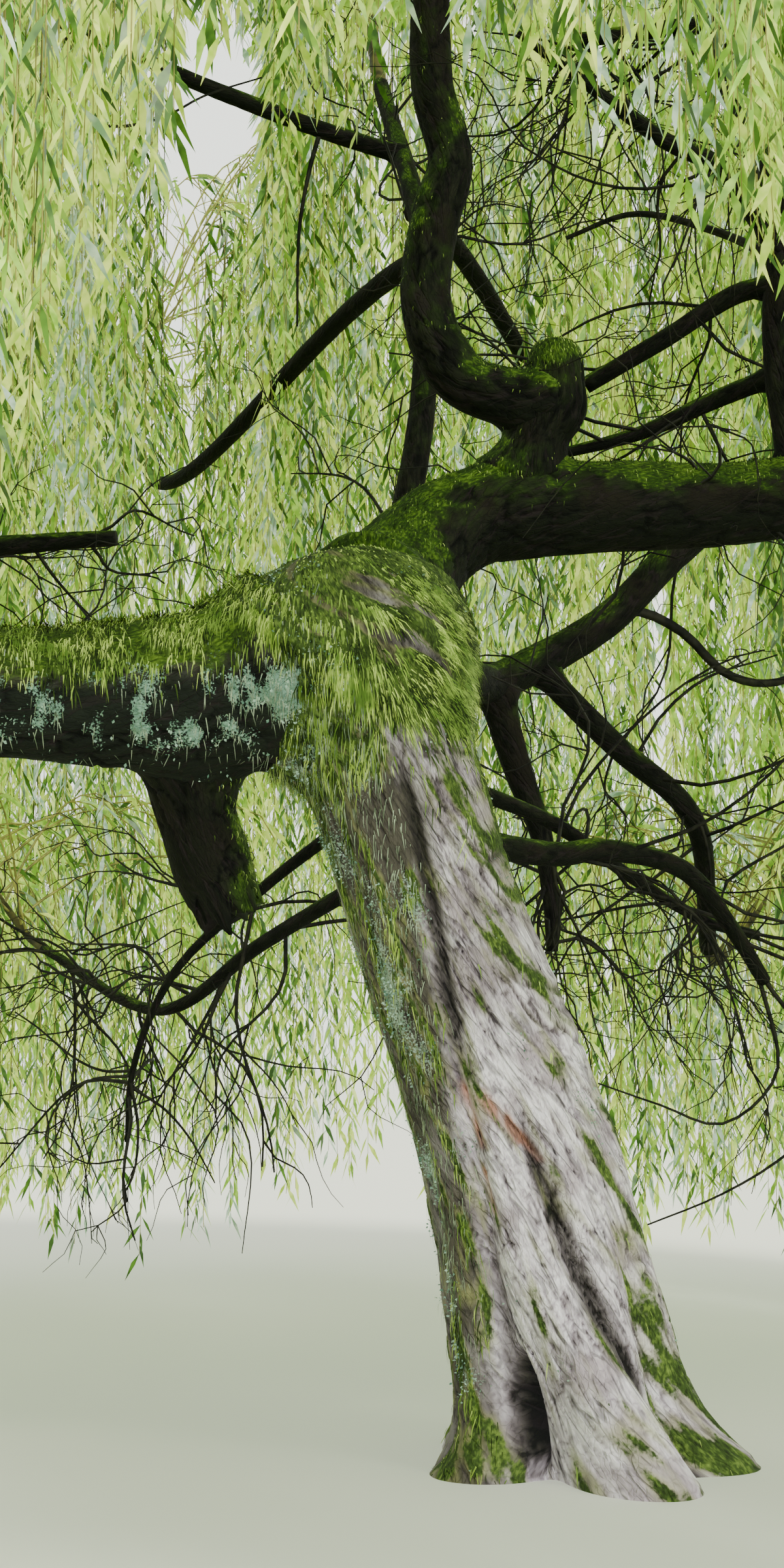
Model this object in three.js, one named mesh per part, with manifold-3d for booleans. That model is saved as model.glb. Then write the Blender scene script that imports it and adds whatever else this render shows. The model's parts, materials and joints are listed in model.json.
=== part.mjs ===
// A weeping willow: a leaning trunk that forks above head height, its boughs, and a dome of hanging foliage.
// Sizes are in millimetres. +Z is up, +X is to the right of the front, and the front looks along +Y.
// The origin is in the flat cut under the trunk, at ground level, within a finger's breadth of its middle.
import * as THREE from 'three';
import { mergeVertices } from 'three/addons/utils/BufferGeometryUtils.js';
import Module from 'manifold-3d';

const wasm = await Module();
wasm.setup();

// Driving dimensions
const TREE_HEIGHT = 9800;
const FACE_GAP = 0.4; // clear space between two pieces that meet
const CROWN_MIDDLE = new THREE.Vector3(-700, 500, 0);
const CROWN_REACH = 5750; // mean plan radius
const BACK_SKEW = 750; // how much further the crown reaches at the back, and less in front
const REACH_LOBES = 180; // how far the plan outline waves in and out
const SHOULDER_DROP = 4100; // how much lower the crown's rim is than its top
const DOME_POWER = 2.2;
const SPACE_MARGIN = 45; // what a mass keeps clear of the edge of its own space
const LIMB_MARGIN = 40; // what a twig or leaf keeps clear of a limb

// Leaf sprays stand for the leaves of one hanging shoot each.
const SPRAY = { length: 2900, width: 520, thickness: 32, widestAt: 0.34, tilt: 6 * Math.PI / 180 };
const TWIG = { stemEnd: 16, shoot: 12, shootEnd: 5 };
const SIDE_SUNK = 5; // how far a side spray's root goes past the middle of its shoot
const END_SUNK = 330; // how far a shoot's end runs on inside the spray on it
const SPRAY_SIZES = [1, 0.8, 0.6, 0.45]; // tried in turn until one fits
const DROP_SHARES = [1, 0.8, 0.62, 0.46, 0.32]; // how much of its full drop a shoot hangs, tried in turn
const LEAST_DROP = 900;
const STEM_RINGS = 4;
const FIRST_SEED = 11;
const GOLDEN_RATIO = (Math.sqrt(5) - 1) / 2;

// How every mass grows from its foot.
const GROWTH = {
  stemShare: 0.92, // the stem's thickness at its foot, of its bough's at the tip
  stemRise: 120, // how far the stem arches above the shoots' level, and how far it falls again
  stemFall: 250,
  shootsFrom: 0.45, // where on the stem the first and the last shoot leave it
  shootsTo: 0.97,
  acrossShift: 0.31, // how far round its arc each mass's first shoot is moved on from the last mass's
  arcShare: 0.84, // how much of its arc the shoots spread over
  startShare: 0.95, // where the first shoot's top is, of the crest
  topSink: [40, 200], // how far below the stem's level the shoots' tops are
  shootRise: 90, // how far a shoot arches up before it falls
  raggedness: 350, // how unevenly the shoots end
  drift: 150, // how far a shoot's lower end hangs outside its top
  sideAt: 0.4, // where the hanging and the outward side sprays leave the arch
  outwardAt: 0.8,
};

// The trunk: mean radii at the foot of the bole and at the fork, and the roots that swell its base.
const TRUNK = {
  path: [[14, 9, 0], [-170, -70, 1020], [-480, -200, 1950], [-700, -285, 2640], [-830, -305, 2980],
    [-890, -310, 3235]],
  boleRadius: 340,
  neckRadius: 300,
  forkRadius: 335,
  sides: 26,
  rings: 20,
  flare: 170,
  flareFade: 0.085,
};
// Each root ridge has a bearing and a width in degrees, stands out at the ground, and fades up the trunk.
const ROOT_RIDGES = [
  { bearing: -62, out: 190, width: 24, fade: 0.13 },
  { bearing: -8, out: 240, width: 26, fade: 0.1 },
  { bearing: 60, out: 120, width: 30, fade: 0.08 },
  { bearing: 130, out: 150, width: 32, fade: 0.09 },
  { bearing: 205, out: 170, width: 26, fade: 0.11 },
];
// Hollows between the roots, given the same way.
const ROOT_HOLLOWS = [
  { bearing: -36, out: 120, width: 13, fade: 0.2 },
  { bearing: -108, out: 190, width: 17, fade: 0.09 },
];

// The limbs, each from inside its parent to its own tip. One that feeds a mass ends where that mass begins.
// One with no path leaves its parent at a share of its length and is led to its mass.
const LIMBS = [
  { name: 'left_bough', parent: 'trunk', feeds: 'curtain_left',
    radii: [316, 95], waist: [0.25, 226], sides: 12, rings: 10,
    path: [[-800, -305, 2840], [-1270, -320, 2750], [-2020, -400, 2720], [-2900, -350, 2900],
      [-3800, 50, 3500]] },
  { name: 'broken_limb', parent: 'left_bough', radii: [215, 70], sides: 9, rings: 5,
    path: [[-1370, -170, 2640], [-1355, -90, 2330], [-1300, -20, 2130], [-1245, 10, 1980]] },
  { name: 'right_bough', parent: 'trunk', feeds: 'curtain_right',
    radii: [255, 85], waist: [0.2, 188], sides: 12,
    path: [[-740, -200, 2900], [-560, 180, 3330], [-330, 300, 3510], [0, 350, 3560], [920, 500, 3640],
      [2100, 560, 3950]] },
  { name: 'rising_bough_neck', parent: 'right_bough', radii: [125, 104], sides: 9, rings: 5,
    path: [[-190, 315, 3580], [-95, 305, 3800], [-5, 300, 4010], [-5, 300, 4225]] },
  { name: 'rising_bough_foot', parent: 'rising_bough_neck', radii: [112, 104], sides: 9, rings: 6,
    path: [[-20, 298, 3955], [-180, 285, 3985], [-370, 280, 4060], [-480, 287, 4230]] },
  { name: 'rising_bough', follows: 'rising_bough_foot', radii: [103, 42], sides: 9, feeds: 'crest_left',
    path: [[-512, 300, 4420], [-465, 325, 4740], [-410, 355, 4970], [-480, 400, 5310], [-490, 460, 5800],
      [-560, 500, 6900]] },
  { name: 'left_back_bough', parent: 'trunk', radii: [98, 42], sides: 8, feeds: 'curtain_left_back',
    path: [[-700, -220, 2380], [-1050, 280, 2640], [-1600, 800, 2860], [-2150, 1250, 3080],
      [-2750, 1600, 3500]] },
  { name: 'left_back_snag', parent: 'left_back_bough', radii: [52, 34], sides: 7, rings: 4,
    path: [[-2740, 1590, 3500], [-2500, 1540, 3650], [-2200, 1490, 3680], [-1860, 1440, 3690]] },
  { name: 'back_riser', parent: 'left_back_bough', radii: [72, 42], sides: 8, feeds: 'cascade_back',
    path: [[-960, 160, 2590], [-790, 640, 2960], [-640, 1080, 3500], [-510, 1400, 4250], [-490, 1700, 5050]] },
  { name: 'back_bough', parent: 'trunk', radii: [85, 40], sides: 7, feeds: 'curtain_right_back',
    path: [[-620, -140, 2600], [-400, 200, 2850], [-210, 690, 2935], [240, 950, 3220], [560, 1150, 3550],
      [1300, 1800, 4200]] },
  { name: 'back_bough_low', parent: 'back_bough', radii: [52, 40], sides: 7, feeds: 'low_sprays_right',
    path: [[-50, 800, 3010], [290, 1000, 2710], [620, 1200, 2450]] },
  { name: 'hanging_dead_limb', parent: 'back_bough', radii: [74, 24], sides: 7, rings: 5,
    path: [[-240, 680, 2940], [-130, 750, 2570], [-40, 760, 2320], [-5, 755, 2070], [0, 750, 1850]] },
  { name: 'low_limb_right_upper', parent: 'trunk', radii: [34, 22], sides: 6, rings: 6,
    path: [[-560, -40, 2500], [-20, 520, 2350], [180, 780, 2255], [350, 1010, 2165], [690, 1220, 1990],
      [930, 1400, 1940]] },
  { name: 'low_limb_right_lower', parent: 'trunk', radii: [56, 30], sides: 6, rings: 7,
    path: [[-480, -60, 2250], [-10, 430, 2215], [200, 600, 2245], [560, 900, 2180], [780, 1100, 1950],
      [930, 1240, 1740]] },
  { name: 'low_limb_left_upper', parent: 'trunk', radii: [32, 20], sides: 6, feeds: 'low_sprays_left',
    path: [[-560, -120, 2180], [-1150, 500, 1870], [-1570, 1000, 1620]] },
  { name: 'low_limb_left_lower', parent: 'trunk', radii: [27, 11], sides: 6, rings: 7,
    path: [[-620, -150, 2420], [-1140, 380, 2080], [-1520, 720, 1750], [-1700, 960, 1370],
      [-1730, 1050, 1080]] },
  { name: 'right_riser', parent: 'right_bough', radii: [72, 40], sides: 8, feeds: 'cascade_right',
    path: [[985, 505, 3640], [925, 560, 4200], [935, 590, 4570], [1080, 480, 5500]] },
  { name: 'riser_limb_upper', parent: 'right_riser', radii: [42, 34], sides: 6, rings: 4,
    path: [[935, 590, 4540], [790, 650, 4540], [470, 730, 4360], [160, 800, 4190]] },
  { name: 'riser_limb_lower', parent: 'right_riser', radii: [44, 20], sides: 6, rings: 4,
    path: [[930, 570, 4170], [700, 700, 4110], [390, 750, 3980], [10, 800, 3890]] },
  { name: 'riser_limb_left', parent: 'right_riser', radii: [52, 15], sides: 6, rings: 6,
    path: [[950, 585, 4680], [690, 610, 5060], [490, 610, 5160], [140, 620, 5430], [-120, 640, 5640]] },
  { name: 'riser_limb_top', parent: 'right_riser', radii: [42, 30], sides: 6, rings: 4,
    path: [[1100, 470, 5560], [710, 620, 5670], [140, 700, 5640]] },
  { name: 'left_riser', parent: 'left_bough', radii: [95, 40], sides: 8, feeds: 'cascade_left',
    path: [[-2850, -360, 2880], [-3020, -420, 3900], [-2930, -340, 5050]] },
  { name: 'hanging_limb_left', parent: 'left_riser', radii: [46, 14], sides: 6, rings: 7,
    path: [[-2935, -340, 5000], [-2450, -310, 5610], [-2000, -270, 5680], [-1810, -300, 5330],
      [-1920, -400, 4810], [-1980, -400, 4430]] },
  { name: 'branch_back_right', parent: 'back_riser', at: 0.7,
    feeds: 'curtain_back_right', radii: [50, 38] },
  { name: 'branch_back_left', parent: 'back_riser', at: 0.62,
    feeds: 'curtain_back_left', radii: [50, 38] },
  { name: 'branch_left_front', parent: 'left_bough', at: 0.62,
    feeds: 'curtain_left_front', radii: [72, 38] },
  { name: 'branch_front_left', parent: 'left_riser', at: 0.45,
    feeds: 'curtain_front_left', radii: [56, 36] },
  { name: 'branch_front_right', parent: 'rising_bough', at: 0.55,
    feeds: 'curtain_front_right', radii: [56, 36] },
  { name: 'branch_right_front', parent: 'right_bough', at: 0.62,
    feeds: 'curtain_right_front', radii: [66, 38] },
  { name: 'branch_high_front_right', parent: 'rising_bough', at: 0.72,
    feeds: 'cascade_front_right', radii: [44, 32] },
  { name: 'branch_high_right_back', parent: 'right_riser', at: 0.42,
    feeds: 'cascade_right_back', radii: [44, 32] },
  { name: 'branch_high_left_back', parent: 'back_riser', at: 0.82,
    feeds: 'cascade_left_back', radii: [44, 32] },
  { name: 'branch_high_front_left', parent: 'rising_bough', at: 0.64,
    feeds: 'cascade_front_left', radii: [44, 32] },
  { name: 'branch_top_back', parent: 'rising_bough', at: 0.78,
    feeds: 'crest_back', radii: [38, 30] },
  { name: 'branch_top_right', parent: 'rising_bough', at: 0.84,
    feeds: 'crest_right', radii: [36, 30] },
];

// The rings of foliage. Shares are of the crown's reach, and tip is where a bough ends and its mass begins.
const TIERS = {
  curtain: {
    inner: 0.68, outer: 1, floor: 420, tipShare: 0.7, tipHeight: 4900, crest: 0.86, end: 0.95,
    sink: 330, shoots: 5,
  },
  cascade: {
    inner: 0.35, outer: 0.665, floor: 2950, tipShare: 0.37, tipHeight: 6450, crest: 0.5, end: 0.61,
    sink: 330, shoots: 4,
  },
  crest: {
    inner: 0.03, outer: 0.335, floor: 5600, tipShare: 0.09, tipHeight: 7900, crest: 0.18, end: 0.28,
    sink: 250, shoots: 5,
  },
  low_sprays: {
    inner: 0.335, outer: 0.665, floor: 420, tipShare: 0.35, tipHeight: 1900, crest: 0.45, end: 0.58,
    roof: 2800, sink: 250, shoots: 4,
  },
};
// Names of the masses in each ring, from the right round by the back, evenly spread unless arcs are given.
const RING_NAMES = {
  curtain: { first: 0, names: ['right', 'right_back', 'back_right', 'back_left', 'left_back',
    'left', 'left_front', 'front_left', 'front_right', 'right_front'] },
  cascade: { first: 38.6, names: ['right_back', 'back', 'left_back',
    'left', 'front_left', 'front_right', 'right'] },
  crest: { first: 90, names: ['back', 'left', 'right'] },
  low_sprays: { first: 45, spacing: 90, arc: 60, names: ['right', 'left'] },
};

// The front curtain parts round a clear way to the trunk, a wedge with its apex in front of the crown.
const CLEAR_WAY = {
  apex: new THREE.Vector3(-642, -8000, 1580),
  halfSpread: 0.2,
  roofMiddle: 0.46,
  roofLeft: 0.2,
  roofRight: 0.3,
  back: -450,
};

const BARK = new THREE.MeshStandardMaterial({ color: 0x7d7468, roughness: 0.92, metalness: 0 });
const MOSSY_BARK = new THREE.MeshStandardMaterial({ color: 0x6f7d38, roughness: 0.95, metalness: 0 });
const SHADED_BARK = new THREE.MeshStandardMaterial({ color: 0x2f3023, roughness: 0.9, metalness: 0 });
const FOLIAGE = {
  curtain: new THREE.MeshStandardMaterial({ color: 0xa3bf4f, roughness: 0.6, metalness: 0 }),
  cascade: new THREE.MeshStandardMaterial({ color: 0x8fb046, roughness: 0.6, metalness: 0 }),
  crest: new THREE.MeshStandardMaterial({ color: 0xb3cc62, roughness: 0.6, metalness: 0 }),
  low_sprays: new THREE.MeshStandardMaterial({ color: 0x86a33c, roughness: 0.6, metalness: 0 }),
};

const MOSSY_LIMBS = ['left_bough', 'broken_limb'];

const UP = new THREE.Vector3(0, 0, 1);
const RIGHT = new THREE.Vector3(1, 0, 0);
const { degToRad, lerp, smoothstep } = THREE.MathUtils;

// A repeatable stream of numbers from 0 to 1.
function seededRandom(seed) {
  let state = seed >>> 0;
  return () => {
    state = (state + 0x6d2b79f5) >>> 0;
    let t = state;
    t = Math.imul(t ^ (t >>> 15), t | 1);
    t ^= t + Math.imul(t ^ (t >>> 7), t | 61);
    return ((t ^ (t >>> 14)) >>> 0) / 4294967296;
  };
}

function solidOf(geometry) {
  const bare = new THREE.BufferGeometry();
  bare.setAttribute('position', geometry.getAttribute('position'));
  bare.setIndex(geometry.getIndex());
  const merged = mergeVertices(bare, 1e-3);
  return new wasm.Manifold(new wasm.Mesh({
    numProp: 3,
    vertProperties: merged.getAttribute('position').array,
    triVerts: new Uint32Array(merged.getIndex().array),
  }));
}

// Fusing or cutting can leave a loose scrap, so only the largest body is kept.
function largestBody(solid) {
  return solid.decompose().reduce((a, b) => (b.volume() > a.volume() ? b : a));
}

function meshOf(name, solid, material, foot) {
  const made = solid.getMesh();
  const geometry = new THREE.BufferGeometry();
  geometry.setAttribute('position', new THREE.BufferAttribute(new Float32Array(made.vertProperties), 3));
  geometry.setIndex(new THREE.BufferAttribute(new Uint32Array(made.triVerts), 1));
  geometry.translate(-foot.x, -foot.y, -foot.z);
  geometry.computeVertexNormals();
  const mesh = new THREE.Mesh(geometry, material);
  mesh.name = name;
  mesh.position.copy(foot);
  return mesh;
}

// Points and directions at even steps along a curve. firstTangent, if given, sets how the first end is cut.
function curveStations(curve, count, firstTangent) {
  return Array.from({ length: count + 1 }, (_, i) => ({
    point: curve.getPointAt(i / count),
    tangent: i === 0 && firstTangent ? firstTangent.clone() : curve.getTangentAt(i / count),
  }));
}

// Stations at the corners of a row of points, each facing halfway between the lines before and after it.
function cornerStations(points) {
  return points.map((point, i) => {
    const before = points[Math.max(0, i - 1)];
    const after = points[Math.min(points.length - 1, i + 1)];
    const back = point.clone().sub(before).normalize();
    const on = after.clone().sub(point).normalize();
    return { point, tangent: back.add(on).normalize() };
  });
}

// A closed bar bent through stations: a cylinder whose rings are moved there and scaled by radiusAt, which
// takes the share of the stations passed and the bearing. The side direction is carried on without twist.
function bentBar(stations, radiusAt, sides) {
  const rings = stations.length - 1;
  const geometry = new THREE.CylinderGeometry(1, 1, 1, sides, rings);
  const frames = [];
  let side;
  for (const { point, tangent } of stations) {
    side ??= Math.abs(tangent.z) > 0.9 ? RIGHT : new THREE.Vector3().crossVectors(UP, tangent);
    side = side.clone().addScaledVector(tangent, -side.dot(tangent)).normalize();
    frames.push({ point, side, across: new THREE.Vector3().crossVectors(side, tangent) });
  }
  const position = geometry.getAttribute('position');
  for (let i = 0; i < position.count; i++) {
    const t = position.getY(i) + 0.5;
    const frame = frames[Math.round(t * rings)];
    const angle = Math.atan2(position.getZ(i), position.getX(i));
    const reach = Math.hypot(position.getX(i), position.getZ(i)) * radiusAt(t, -angle);
    const p = frame.point.clone()
      .addScaledVector(frame.side, Math.cos(angle) * reach)
      .addScaledVector(frame.across, Math.sin(angle) * reach);
    position.setXYZ(i, p.x, p.y, p.z);
  }
  return geometry;
}

// The point at a share of a bent bar's length, on the straight line between the two rings beside it.
function pointOnBar(curve, rings, t) {
  const ring = Math.min(rings - 1, Math.floor(t * rings));
  return curve.getPointAt(ring / rings).lerp(curve.getPointAt((ring + 1) / rings), t * rings - ring);
}

// The trunk's radius at a share of its length and a bearing: bole, neck and fork swelling, then a rounded
// shoulder, with ridges that run down into the roots and hollows between them.
function trunkRadius(t, bearing) {
  const neckAt = 0.75;
  const shoulderAt = 0.9;
  const lower = smoothstep(t, 0.3, neckAt);
  let radius = lerp(TRUNK.boleRadius, TRUNK.neckRadius, lower);
  radius += (TRUNK.forkRadius - TRUNK.neckRadius) * smoothstep(t, neckAt, shoulderAt);
  radius += TRUNK.flare * Math.exp(-t / TRUNK.flareFade);
  const lobe = ({ bearing: middle, width }) => {
    const turn = bearing - degToRad(middle);
    const off = Math.atan2(Math.sin(turn), Math.cos(turn)) / degToRad(width);
    return Math.exp(-off * off);
  };
  for (const ridge of ROOT_RIDGES) radius += ridge.out * lobe(ridge) * Math.exp(-t / ridge.fade);
  for (const hollow of ROOT_HOLLOWS) radius -= hollow.out * lobe(hollow) * Math.exp(-t / hollow.fade);
  const past = Math.max(0, (t - shoulderAt) / (1 - shoulderAt));
  return radius * Math.sqrt(Math.max(0.02, 1 - past * past));
}

// How far the crown reaches from its middle on a bearing.
function crownReach(bearing) {
  return CROWN_REACH + BACK_SKEW * Math.sin(bearing) + REACH_LOBES * Math.cos(3 * bearing + 1);
}

// The dome's height at a share of its reach.
function crownRoof(share) {
  return TREE_HEIGHT - SHOULDER_DROP * share ** DOME_POWER;
}

function level(bearing) {
  return new THREE.Vector3(Math.cos(bearing), Math.sin(bearing), 0);
}

function crownPoint(bearing, share, height) {
  return level(bearing).multiplyScalar(crownReach(bearing) * share).add(CROWN_MIDDLE).setZ(height);
}

// The masses, each a sector of its ring.
const masses = new Map();
for (const [ring, layout] of Object.entries(RING_NAMES)) {
  const { first, names, spacing = 360 / names.length, arc = spacing } = layout;
  names.forEach((word, i) => masses.set(`${ring}_${word}`, {
    ring,
    tier: TIERS[ring],
    bearing: degToRad(first + i * spacing),
    halfArc: degToRad(arc / 2),
    seed: masses.size + FIRST_SEED,
  }));
}

function massTip({ tier, bearing }) {
  return crownPoint(bearing, tier.tipShare, tier.tipHeight);
}

// Whether a point is in the clear way in front of the trunk.
function inClearWay(p) {
  if (p.y > CLEAR_WAY.back) return false;
  const away = p.y - CLEAR_WAY.apex.y;
  const aside = (p.x - CLEAR_WAY.apex.x) / away / CLEAR_WAY.halfSpread;
  const side = aside < 0 ? CLEAR_WAY.roofLeft : CLEAR_WAY.roofRight;
  const roof = lerp(CLEAR_WAY.roofMiddle, side, aside * aside);
  return Math.abs(aside) < 1 && (p.z - CLEAR_WAY.apex.z) / away < roof;
}

// Whether a point lies in a mass's own space.
function inSpace(mass, p) {
  const { tier } = mass;
  const dx = p.x - CROWN_MIDDLE.x;
  const dy = p.y - CROWN_MIDDLE.y;
  const bearing = Math.atan2(dy, dx);
  const distance = Math.hypot(dx, dy);
  const reach = crownReach(bearing);
  const turn = Math.atan2(Math.sin(bearing - mass.bearing), Math.cos(bearing - mass.bearing));
  return (mass.halfArc - Math.abs(turn)) * distance > SPACE_MARGIN
    && distance > tier.inner * reach + SPACE_MARGIN
    && distance < tier.outer * reach - SPACE_MARGIN
    && p.z > tier.floor
    && p.z < Math.min(tier.roof ?? Infinity, crownRoof(distance / reach)) - SPACE_MARGIN
    && !inClearWay(p);
}

// Builds a limb: its solid, cut clear of its neighbours, and a slightly fatter one that cuts what meets it.
const limbs = new Map();

function addLimb(name, curve, radiusAt, sides, rings, neighbours, firstTangent) {
  const fatter = (t, bearing) => radiusAt(t, bearing) + FACE_GAP * 1.5;
  const stations = curveStations(curve, rings, firstTangent);
  let solid = solidOf(bentBar(stations, radiusAt, sides));
  for (const other of neighbours) solid = solid.subtract(other.cutter);
  limbs.set(name, {
    curve,
    radiusAt,
    stations,
    solid: largestBody(solid),
    cutter: solidOf(bentBar(stations, fatter, sides)),
  });
}

// A curve that leaves its parent sideways, climbs, and comes into its mass outwards and a little upwards.
function branchCurve(start, mass) {
  const tip = massTip(mass);
  const outwards = level(mass.bearing).setZ(0.75).normalize();
  const span = start.distanceTo(tip);
  const leaving = tip.clone().sub(start).setZ(Math.max(300, (tip.z - start.z) * 0.6)).normalize();
  const early = start.clone().addScaledVector(leaving, span * 0.35);
  const late = tip.clone().addScaledVector(outwards, -span * 0.3);
  return new THREE.CubicBezierCurve3(start, early, late, tip);
}

// A limb's curve through its own points, from the end of the limb that it follows, if any, to its mass.
function limbCurve({ path, parent, at, follows }, mass) {
  if (!path) return branchCurve(limbs.get(parent).curve.getPointAt(at), mass);
  const points = path.map((p) => new THREE.Vector3(...p));
  if (mass) points.push(massTip(mass));
  if (follows) {
    const before = limbs.get(follows).curve;
    points.unshift(before.getPointAt(1).addScaledVector(before.getTangentAt(1), FACE_GAP));
  }
  return new THREE.CatmullRomCurve3(points);
}

// A limb's radius: quickly down to its waist, if it has one, then an even taper.
function limbRadius({ radii: [thick, thin], waist: [waistAt, waist] = [0, thick] }) {
  return (t) => (t < waistAt
    ? lerp(thick, waist, smoothstep(t, 0, waistAt))
    : lerp(waist, thin, (t - waistAt) / (1 - waistAt)));
}

const trunkCurve = new THREE.CatmullRomCurve3(TRUNK.path.map((p) => new THREE.Vector3(...p)));
addLimb('trunk', trunkCurve, trunkRadius, TRUNK.sides, TRUNK.rings, [], UP);
for (const spec of LIMBS) {
  const { name, follows, feeds, sides = 5, rings = 6 } = spec;
  const mass = masses.get(feeds);
  const neighbours = follows ? [] : [...limbs.values()];
  const firstTangent = follows && limbs.get(follows).curve.getTangentAt(1);
  addLimb(name, limbCurve(spec, mass), limbRadius(spec), sides, rings, neighbours, firstTangent);
  if (mass) mass.limb = limbs.get(name);
}

// Whether everything within reach of a point keeps clear of every limb.
function clearOfLimbs(p, reach) {
  const near = new THREE.Vector3();
  for (const { stations, radiusAt } of limbs.values()) {
    for (let i = 1; i < stations.length; i++) {
      const line = new THREE.Line3(stations[i - 1].point, stations[i].point);
      const distance = line.closestPointToPoint(p, true, near).distanceTo(p);
      if (distance < radiusAt((i - 1) / (stations.length - 1), 0) + reach + LIMB_MARGIN) return false;
    }
  }
  return true;
}

// A flat lance-shaped blade of eight faces from root along heading, turned about it by roll.
function sprayBlade(root, heading, length, width, roll) {
  const blade = new THREE.OctahedronGeometry(1, 0);
  const position = blade.getAttribute('position');
  for (let i = 0; i < position.count; i++) {
    const z = position.getZ(i);
    const along = z < -0.5 ? 0 : z > 0.5 ? 1 : SPRAY.widestAt;
    position.setXYZ(i, position.getX(i) * width / 2, position.getY(i) * SPRAY.thickness / 2, along * length);
  }
  blade.rotateZ(roll);
  blade.applyQuaternion(new THREE.Quaternion().setFromUnitVectors(UP, heading));
  blade.translate(root.x, root.y, root.z);
  return blade;
}

// Adds one spray to pieces, its root sunk behind point: the largest blade that fits, flat either way.
function fitSpray(mass, point, sunk, heading, length, roll, pieces) {
  const root = point.clone().addScaledVector(heading, -sunk);
  for (const size of SPRAY_SIZES) {
    for (const quarter of [0, 1]) {
      const width = SPRAY.width * (0.4 + 0.6 * size);
      const blade = sprayBlade(root, heading, length * size, width, roll + quarter * Math.PI / 2);
      if (!bladeFits(mass, blade, root, heading, length * size, width)) continue;
      pieces.push(blade);
      return;
    }
  }
}

// Whether a blade's corners stay in its mass's space and its whole length stays clear of the limbs.
function bladeFits(mass, blade, root, heading, length, width) {
  const position = blade.getAttribute('position');
  const corner = new THREE.Vector3();
  for (let i = 0; i < position.count; i++) {
    if (!inSpace(mass, corner.fromBufferAttribute(position, i))) return false;
  }
  for (let u = 0; u <= 1; u += 0.1) {
    const reach = width / 2 * Math.min(u / SPRAY.widestAt, (1 - u) / (1 - SPRAY.widestAt));
    if (!clearOfLimbs(root.clone().addScaledVector(heading, length * u), reach)) return false;
  }
  return true;
}

function twigFits(mass, points, radius) {
  const path = new THREE.CurvePath();
  for (let i = 1; i < points.length; i++) path.add(new THREE.LineCurve3(points[i - 1], points[i]));
  return path.getSpacedPoints(24).slice(1).every((p) => inSpace(mass, p) && clearOfLimbs(p, radius));
}

// One mass: a stem that arches on from its bough, shoots that arch out from it and hang, and leaf sprays.
function growMass(mass) {
  const random = seededRandom(mass.seed);
  const { tier, limb } = mass;
  const heading = limb.curve.getTangentAt(1);
  const foot = limb.curve.getPointAt(1).addScaledVector(heading, FACE_GAP);
  const roofAt = (share) => (tier.roof ?? crownRoof(share)) - tier.sink;
  const crest = crownPoint(mass.bearing, tier.crest, roofAt(tier.crest) + GROWTH.stemRise);
  const end = crownPoint(mass.bearing, tier.end, roofAt(tier.end) - GROWTH.stemFall);
  const arch = foot.clone().addScaledVector(heading, foot.distanceTo(crest) * 0.5);
  const stem = new THREE.CubicBezierCurve3(foot, arch, crest, end);
  const stemRadius = limb.radiusAt(1, 0) * GROWTH.stemShare;
  const stemAt = (t) => lerp(stemRadius, TWIG.stemEnd, t);
  const pieces = [bentBar(curveStations(stem, STEM_RINGS, heading), stemAt, 3)];
  for (let i = 0; i < tier.shoots; i++) {
    const along = i / (tier.shoots - 1);
    const across = ((i * GOLDEN_RATIO + mass.seed * GROWTH.acrossShift) % 1) * 2 - 1;
    const share = lerp(tier.crest * GROWTH.startShare, tier.end, along) * (0.98 + 0.05 * random());
    const height = roofAt(share) - lerp(...GROWTH.topSink, random());
    const top = crownPoint(mass.bearing + mass.halfArc * GROWTH.arcShare * across, share, height);
    const start = pointOnBar(stem, STEM_RINGS, lerp(GROWTH.shootsFrom, GROWTH.shootsTo, along));
    growShoot(mass, start, top, i, random, pieces);
  }
  return { foot, solid: largestBody(wasm.Manifold.union(pieces.map(solidOf))) };
}

// A shoot that arches from start over to top and hangs from there as far down as its mass has room. A spray
// on its end makes up the rest of the drop, one hangs where it arches, and every second shoot has one more.
function growShoot(mass, start, top, index, random, pieces) {
  const away = level(mass.bearing);
  const rise = start.clone().lerp(top, 0.5).setZ(Math.max(start.z, top.z) + GROWTH.shootRise);
  for (const share of DROP_SHARES) {
    const drop = (top.z - mass.tier.floor) * share - GROWTH.raggedness * random();
    const length = Math.min(SPRAY.length, drop * 0.6);
    const bottom = top.clone().addScaledVector(away, GROWTH.drift * random()).setZ(top.z - drop + length);
    const points = [start, rise, top, bottom];
    if (drop < LEAST_DROP || !twigFits(mass, points, TWIG.shoot)) continue;
    pieces.push(bentBar(cornerStations(points), (t) => lerp(TWIG.shoot, TWIG.shootEnd, t), 3));
    const fall = bottom.clone().sub(top).normalize();
    fitSpray(mass, bottom, END_SUNK, fall, length + END_SUNK, Math.PI * random(), pieces);
    break;
  }
  const hang = level(mass.bearing + 0.8 * (random() - 0.5)).setZ(-1 / Math.tan(SPRAY.tilt)).normalize();
  const length = Math.min(SPRAY.length, (top.z - mass.tier.floor) * 0.8);
  const side = rise.clone().lerp(top, GROWTH.sideAt);
  fitSpray(mass, side, SIDE_SUNK, hang, length, Math.PI * random(), pieces);
  if (index % 2 === 0) return;
  const outwards = top.clone().sub(rise).addScaledVector(away, 300).setZ(-280).normalize();
  const high = rise.clone().lerp(top, GROWTH.outwardAt);
  fitSpray(mass, high, SIDE_SUNK, outwards, SPRAY.length / 2, Math.PI * random(), pieces);
}

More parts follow.
